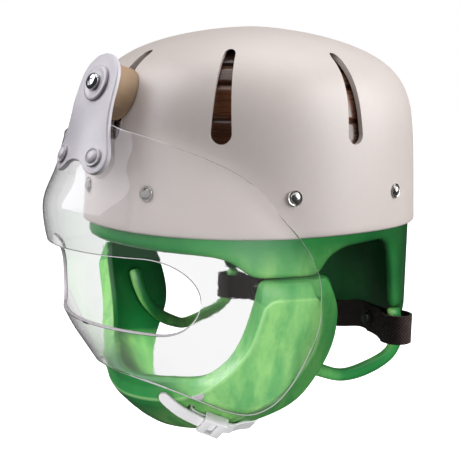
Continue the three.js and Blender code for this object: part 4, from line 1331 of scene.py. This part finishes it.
def build_fastenings():
    ring = tab_circle(WASHER_SIDES)
    rings = [TAB_SCREW + h * TAB_OUT + r * ring for r, h in WASHER_PROFILE]
    body = Body(rings, grid_faces(len(rings), len(ring), True, True))
    add_piece("tab_washer_ring", body, TAB_WHITE, "tab_washer", crease=45)

    profile = list(SCREW_SHANK)
    for angle in np.linspace(0.25, math.pi / 2, 8)[:-1]:
        out = SCREW_HEAD["radius"] * math.cos(angle) ** 0.6
        profile.append((out, SCREW_HEAD["base"] + SCREW_HEAD["rise"] * math.sin(angle)))
    profile.append(SCREW_HEAD["top"])
    mesh = closed_mesh("cross_screw", turned(profile, 48, TAB_SCREW, TAB_OUT))
    first = math.cos(SCREW_TURN) * TAB_RIGHT + math.sin(SCREW_TURN) * TAB_UP
    second = np.cross(TAB_OUT, first)
    cross = []
    for one, two, sunk in zip((first, second), (second, -first), SCREW_CROSS["sunk"]):
        axes = (one, two, TAB_OUT)
        place = TAB_SCREW + sunk * TAB_OUT
        box = rounded_box(SCREW_CROSS["size"], place, axes, 2, SCREW_CROSS["ease"])
        cross.append(closed_mesh("cross_cut", box))
    mesh = cut_mesh(mesh, cross)
    add_piece("cross_screw", mesh, CHROME, "tab_screw", crease=40)

    for name, hand in HANDS:
        place, out = tab_rivet_frame(hand)
        profile = [(2.0, -6.0), (2.0, 0.34)] + [(r, h + 0.36) for r, h in dome_head(*TAB_RIVET)]
        body = turned(profile, 48, place, out)
        add_piece(f"tab_dome_rivet_{name}", body, TAB_WHITE, f"tab_rivet_{name}", crease=45)


def shell_normal(angle, z):
    turn = 0.01
    rise = 1.0
    around = shell_spot(angle + turn, z) - shell_spot(angle - turn, z)
    above = shell_spot(angle, z + rise) - shell_spot(angle, z - rise)
    out = unit(np.cross(around, above))
    return out * np.sign(out @ (shell_spot(angle, z) * (1, 1, 0)))


def build_shell_rivets():
    turns = [math.radians(degrees) for degrees in RIVET_ANGLES]
    for node in range(1, len(turns) + 1):
        low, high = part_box(f"shell_rivet_{node}")
        middle = (np.array(low) + np.array(high)) / 2
        seen = math.atan2(middle[0] / SHELL["half_width"], -middle[1] / SHELL["half_length"])
        turn = min(turns, key=lambda one: abs(math.sin((one - seen) / 2)))
        place = shell_spot(turn, RIVET_HEIGHT)
        profile = [(r, h + 0.3) for r, h in dome_head(*SHELL_RIVET)]
        body = turned(profile, 40, place, shell_normal(turn, RIVET_HEIGHT))
        add_piece(f"shell_dome_rivet_{node}", body, STEEL, f"shell_rivet_{node}", crease=45)


# Nape strap
NAPE_POST = np.array((85.1, 56.6, -71))
NAPE_AWAY = unit((-0.965, 0.262, 0))
NAPE_FRONT = np.array((-NAPE_AWAY[1], NAPE_AWAY[0], 0))


def nape_place(away, forward):
    return NAPE_POST + away * NAPE_AWAY + forward * NAPE_FRONT


def pointed_ends(travel, total):
    near = np.minimum(travel, total - travel) / 7.0
    return 0.35 + 0.65 * np.clip(near, 0, 1)


def build_nape_strap():
    lap = WEBBING["lap"]
    layer = WEBBING["thickness"] + 0.7
    half = [nape_place(lap, layer), nape_place(0.66 * lap, layer), nape_place(0.42 * lap, layer + 1.5)]
    for turn in np.radians(np.linspace(50, 310, 13)):
        half.append(nape_place(WEBBING["wrap"] * math.cos(turn), WEBBING["wrap"] * math.sin(turn)))
    half.append(nape_place(0.42 * lap, -1.5))
    half.append(nape_place(0.66 * lap, 0))
    start = nape_place(lap, 0)
    steps = 16
    for i in range(steps):
        x = start[0] * (1 - i / steps)
        droop = 1 - (x / start[0]) ** 2
        y = start[1] + (WEBBING["middle_y"] - start[1]) * droop
        half.append(np.array((x, y, start[2] - WEBBING["sag"] * droop * droop)))
    middle = np.array((0, WEBBING["middle_y"], start[2] - WEBBING["sag"]))
    whole = half + [middle] + [p * (-1, 1, 1) for p in half[::-1]]
    path = even_spacing(eased_path(whole, 8), 420, False)
    body = ribbon(path, UP, WEBBING["width"], WEBBING["thickness"], pointed_ends)
    add_piece("woven_nape_strap", body, WEBBING_DARK, "nape_strap", crease=50)
    for name, hand in HANDS:
        place = nape_place(*SNAP_AT) * (hand, 1, 1)
        out = NAPE_FRONT * (hand, 1, 1)
        body = turned(dome_head(*SNAP_CAP), 44, place, out)
        add_piece(f"snap_cap_{name}", body, SNAP_BLACK, f"strap_snap_{name}", crease=45)


# Stage, light and camera
FLOOR_LEVEL = -0.62
FLOOR_REACH = 30.0
FLOOR_TONES = ((0.93, 0.93, 0.93), (0.96, 0.96, 0.96))
LOOPS = ("ear_loop_pad_left", "ear_loop_pad_right")
PADS = ("padded_head_band", "padded_chin_guard") + LOOPS
CLEAR_SHEET = ("clear_faceguard",)
STRAPS = ("white_chin_strap", "ladder_buckle")
LAMP_AIM = (0, 0, -0.12)
WHITES = {"spares": PADS + CLEAR_SHEET}
HOLLOW = {"aim": (-0.075, -0.045, -0.226), "spread": 62, "lights": ("padded_chin_guard",), "glossy": False}
HAZE = {"tall": 2.6, "colour": (0.95, 0.92, 1.0), "diffuse": False}
# Each lamp has its name, place, size, power and what sets it apart
LAMPS = (
    ("key_from_left", (-1.1, -1.6, 1.4), 2.4, 36, WHITES),
    ("box_from_right", (1.35, 1.1, 0.5), 1.6, 38, WHITES),
    ("shell_fill", (0.9, -1.1, 0.6), 1.4, 4, {"lights": ("outer_shell",)}),
    ("pads_from_right", (1.4, -0.65, 0.1), 0.9, 14, {"lights": PADS}),
    ("pads_from_left", (-1.5, -1.3, 0.9), 1.2, 34, {"lights": PADS}),
    ("sheet_edges", (0.2, -1.9, 1.2), 2.0, 30, {"lights": CLEAR_SHEET, "glossy": False}),
    ("strap_bounce", (0.4, -0.7, -0.5), 0.4, 6, {"lights": STRAPS}),
    ("loop_bounce", (0.5, -0.7, -0.7), 0.8, 7, {"lights": LOOPS}),
    ("cheek_fill", (0.62, -1.3, -0.05), 0.6, 6, {"lights": LOOPS + ("padded_chin_guard",)}),
    ("hollow_bounce", (0.01, -0.05, -0.212), 0.04, 0.015, HOLLOW),
    ("haze_card", (-1.4, -1.8, 1.3), 2.4, 48, HAZE),
    ("broad_top", (0.1, 0.2, 1.6), 2.0, 16, {}),
)
FLOOR_WASH = 4.5
ROOM = {"colour": (0.97, 0.98, 1), "strength": 0.05}
MIRRORED_DIM = 0.42
CAMERA = {"place": (0.4428, -0.4050, -0.0348), "around": 48.94, "down": 8.69, "roll": 1.05, "lens": 68.33}
SENSOR = 36
NEAR_CLIP = 0.01


def build_stage():
    made, nodes, shader = material("pale_floor")
    mottle = use(nodes, MOTTLE)
    nodes.into(shader, Base_Color=nodes.mix(mottle["Broad"], *FLOOR_TONES), Roughness=0.9)
    mesh = bpy.data.meshes.new("floor")
    corners = [(-1, -1), (1, -1), (1, 1), (-1, 1)]
    places = [(x * FLOOR_REACH, y * FLOOR_REACH, FLOOR_LEVEL) for x, y in corners]
    mesh.from_pydata(places, [], [(0, 1, 2, 3)])
    mesh.materials.append(made)
    floor = bpy.data.objects.new("floor", mesh)
    bpy.context.scene.collection.objects.link(floor)
    floor.visible_diffuse = False
    floor.visible_glossy = False
    floor.visible_transmission = False
    return floor


def link_light(light, pieces, state):
    linked = bpy.data.collections.new(light.name + "_linked")
    for piece in pieces:
        linked.objects.link(piece)
    light.light_linking.receiver_collection = linked
    for entry in linked.collection_objects:
        entry.light_linking.link_state = state


def add_light(name, place, size, power, special):
    data = bpy.data.lights.new(name, "AREA")
    data.shape = "RECTANGLE" if "tall" in special else "DISK"
    data.size = size
    data.size_y = special.get("tall", size)
    data.energy = power
    data.color = special.get("colour", (1, 1, 1))
    data.spread = math.radians(special.get("spread", 180))
    light = bpy.data.objects.new(name, data)
    light.location = place
    ahead = Vector(special.get("aim", LAMP_AIM)) - Vector(place)
    light.rotation_euler = ahead.to_track_quat("-Z", "Y").to_euler()
    light.visible_camera = False
    light.visible_transmission = False
    light.visible_diffuse = special.get("diffuse", True)
    light.visible_glossy = special.get("glossy", True)
    bpy.context.scene.collection.objects.link(light)
    for key, state in (("lights", "INCLUDE"), ("spares", "EXCLUDE")):
        if key in special:
            link_light(light, [bpy.data.objects[one] for one in special[key]], state)


def build_world():
    world = bpy.data.worlds.new("studio")
    world.use_nodes = True
    nodes = Nodes(world.node_tree)
    backdrop = world.node_tree.nodes["Background"]
    nodes.into(backdrop, Color=(1, 1, 1), Strength=1.0)
    room = nodes.into(nodes.add("ShaderNodeBackground"), Color=ROOM["colour"], Strength=ROOM["strength"])
    path = nodes.add("ShaderNodeLightPath").outputs
    seen = nodes.sum(path["Is Camera Ray"], path["Is Transmission Ray"], "MAXIMUM")
    mirrored_ray = nodes.sum(path["Glossy Depth"], 0.5, "GREATER_THAN")
    dimmed = nodes.sum(1, nodes.times(mirrored_ray, MIRRORED_DIM), "SUBTRACT")
    blend = nodes.add("ShaderNodeMixShader")
    nodes.link(nodes.times(seen, dimmed), blend.inputs["Fac"])
    nodes.link(room["Background"], blend.inputs[1])
    nodes.link(backdrop.outputs["Background"], blend.inputs[2])
    nodes.link(blend.outputs["Shader"], world.node_tree.nodes["World Output"].inputs["Surface"])
    bpy.context.scene.world = world


def build_light(floor):
    build_world()
    for lamp in LAMPS:
        add_light(*lamp)
    data = bpy.data.lights.new("floor_wash", "SUN")
    data.energy = FLOOR_WASH
    wash = bpy.data.objects.new("floor_wash", data)
    bpy.context.scene.collection.objects.link(wash)
    link_light(wash, [floor], "INCLUDE")
    bpy.context.scene.view_settings.view_transform = "Standard"


def build_camera():
    around, down, roll = [math.radians(CAMERA[key]) for key in ("around", "down", "roll")]
    ahead = Vector((-math.sin(around) * math.cos(down), math.cos(around) * math.cos(down), -math.sin(down)))
    level = Vector((math.cos(around), math.sin(around), 0))
    upright = level.cross(ahead)
    right = math.cos(roll) * level + math.sin(roll) * upright
    above = -math.sin(roll) * level + math.cos(roll) * upright
    data = bpy.data.cameras.new("photo_camera")
    data.sensor_fit = "HORIZONTAL"
    data.sensor_width = SENSOR
    data.lens = CAMERA["lens"]
    data.clip_start = NEAR_CLIP
    camera = bpy.data.objects.new("photo_camera", data)
    turn = Matrix((right, above, -ahead)).transposed()
    camera.matrix_world = Matrix.Translation(CAMERA["place"]) @ turn.to_4x4()
    bpy.context.scene.collection.objects.link(camera)
    bpy.context.scene.camera = camera


build_shell()
build_crown_liner()
build_head_band()
build_chin_guard()
clearance = chin_mesh("guard_clearance", CHIN_CLEARANCE)
build_ear_loops(clearance)
build_faceguard(clearance)
build_tab()
build_puck()
build_fastenings()
build_shell_rivets()
build_nape_strap()
build_chin_strap()
build_chin_buckle()
build_light(build_stage())
build_camera()
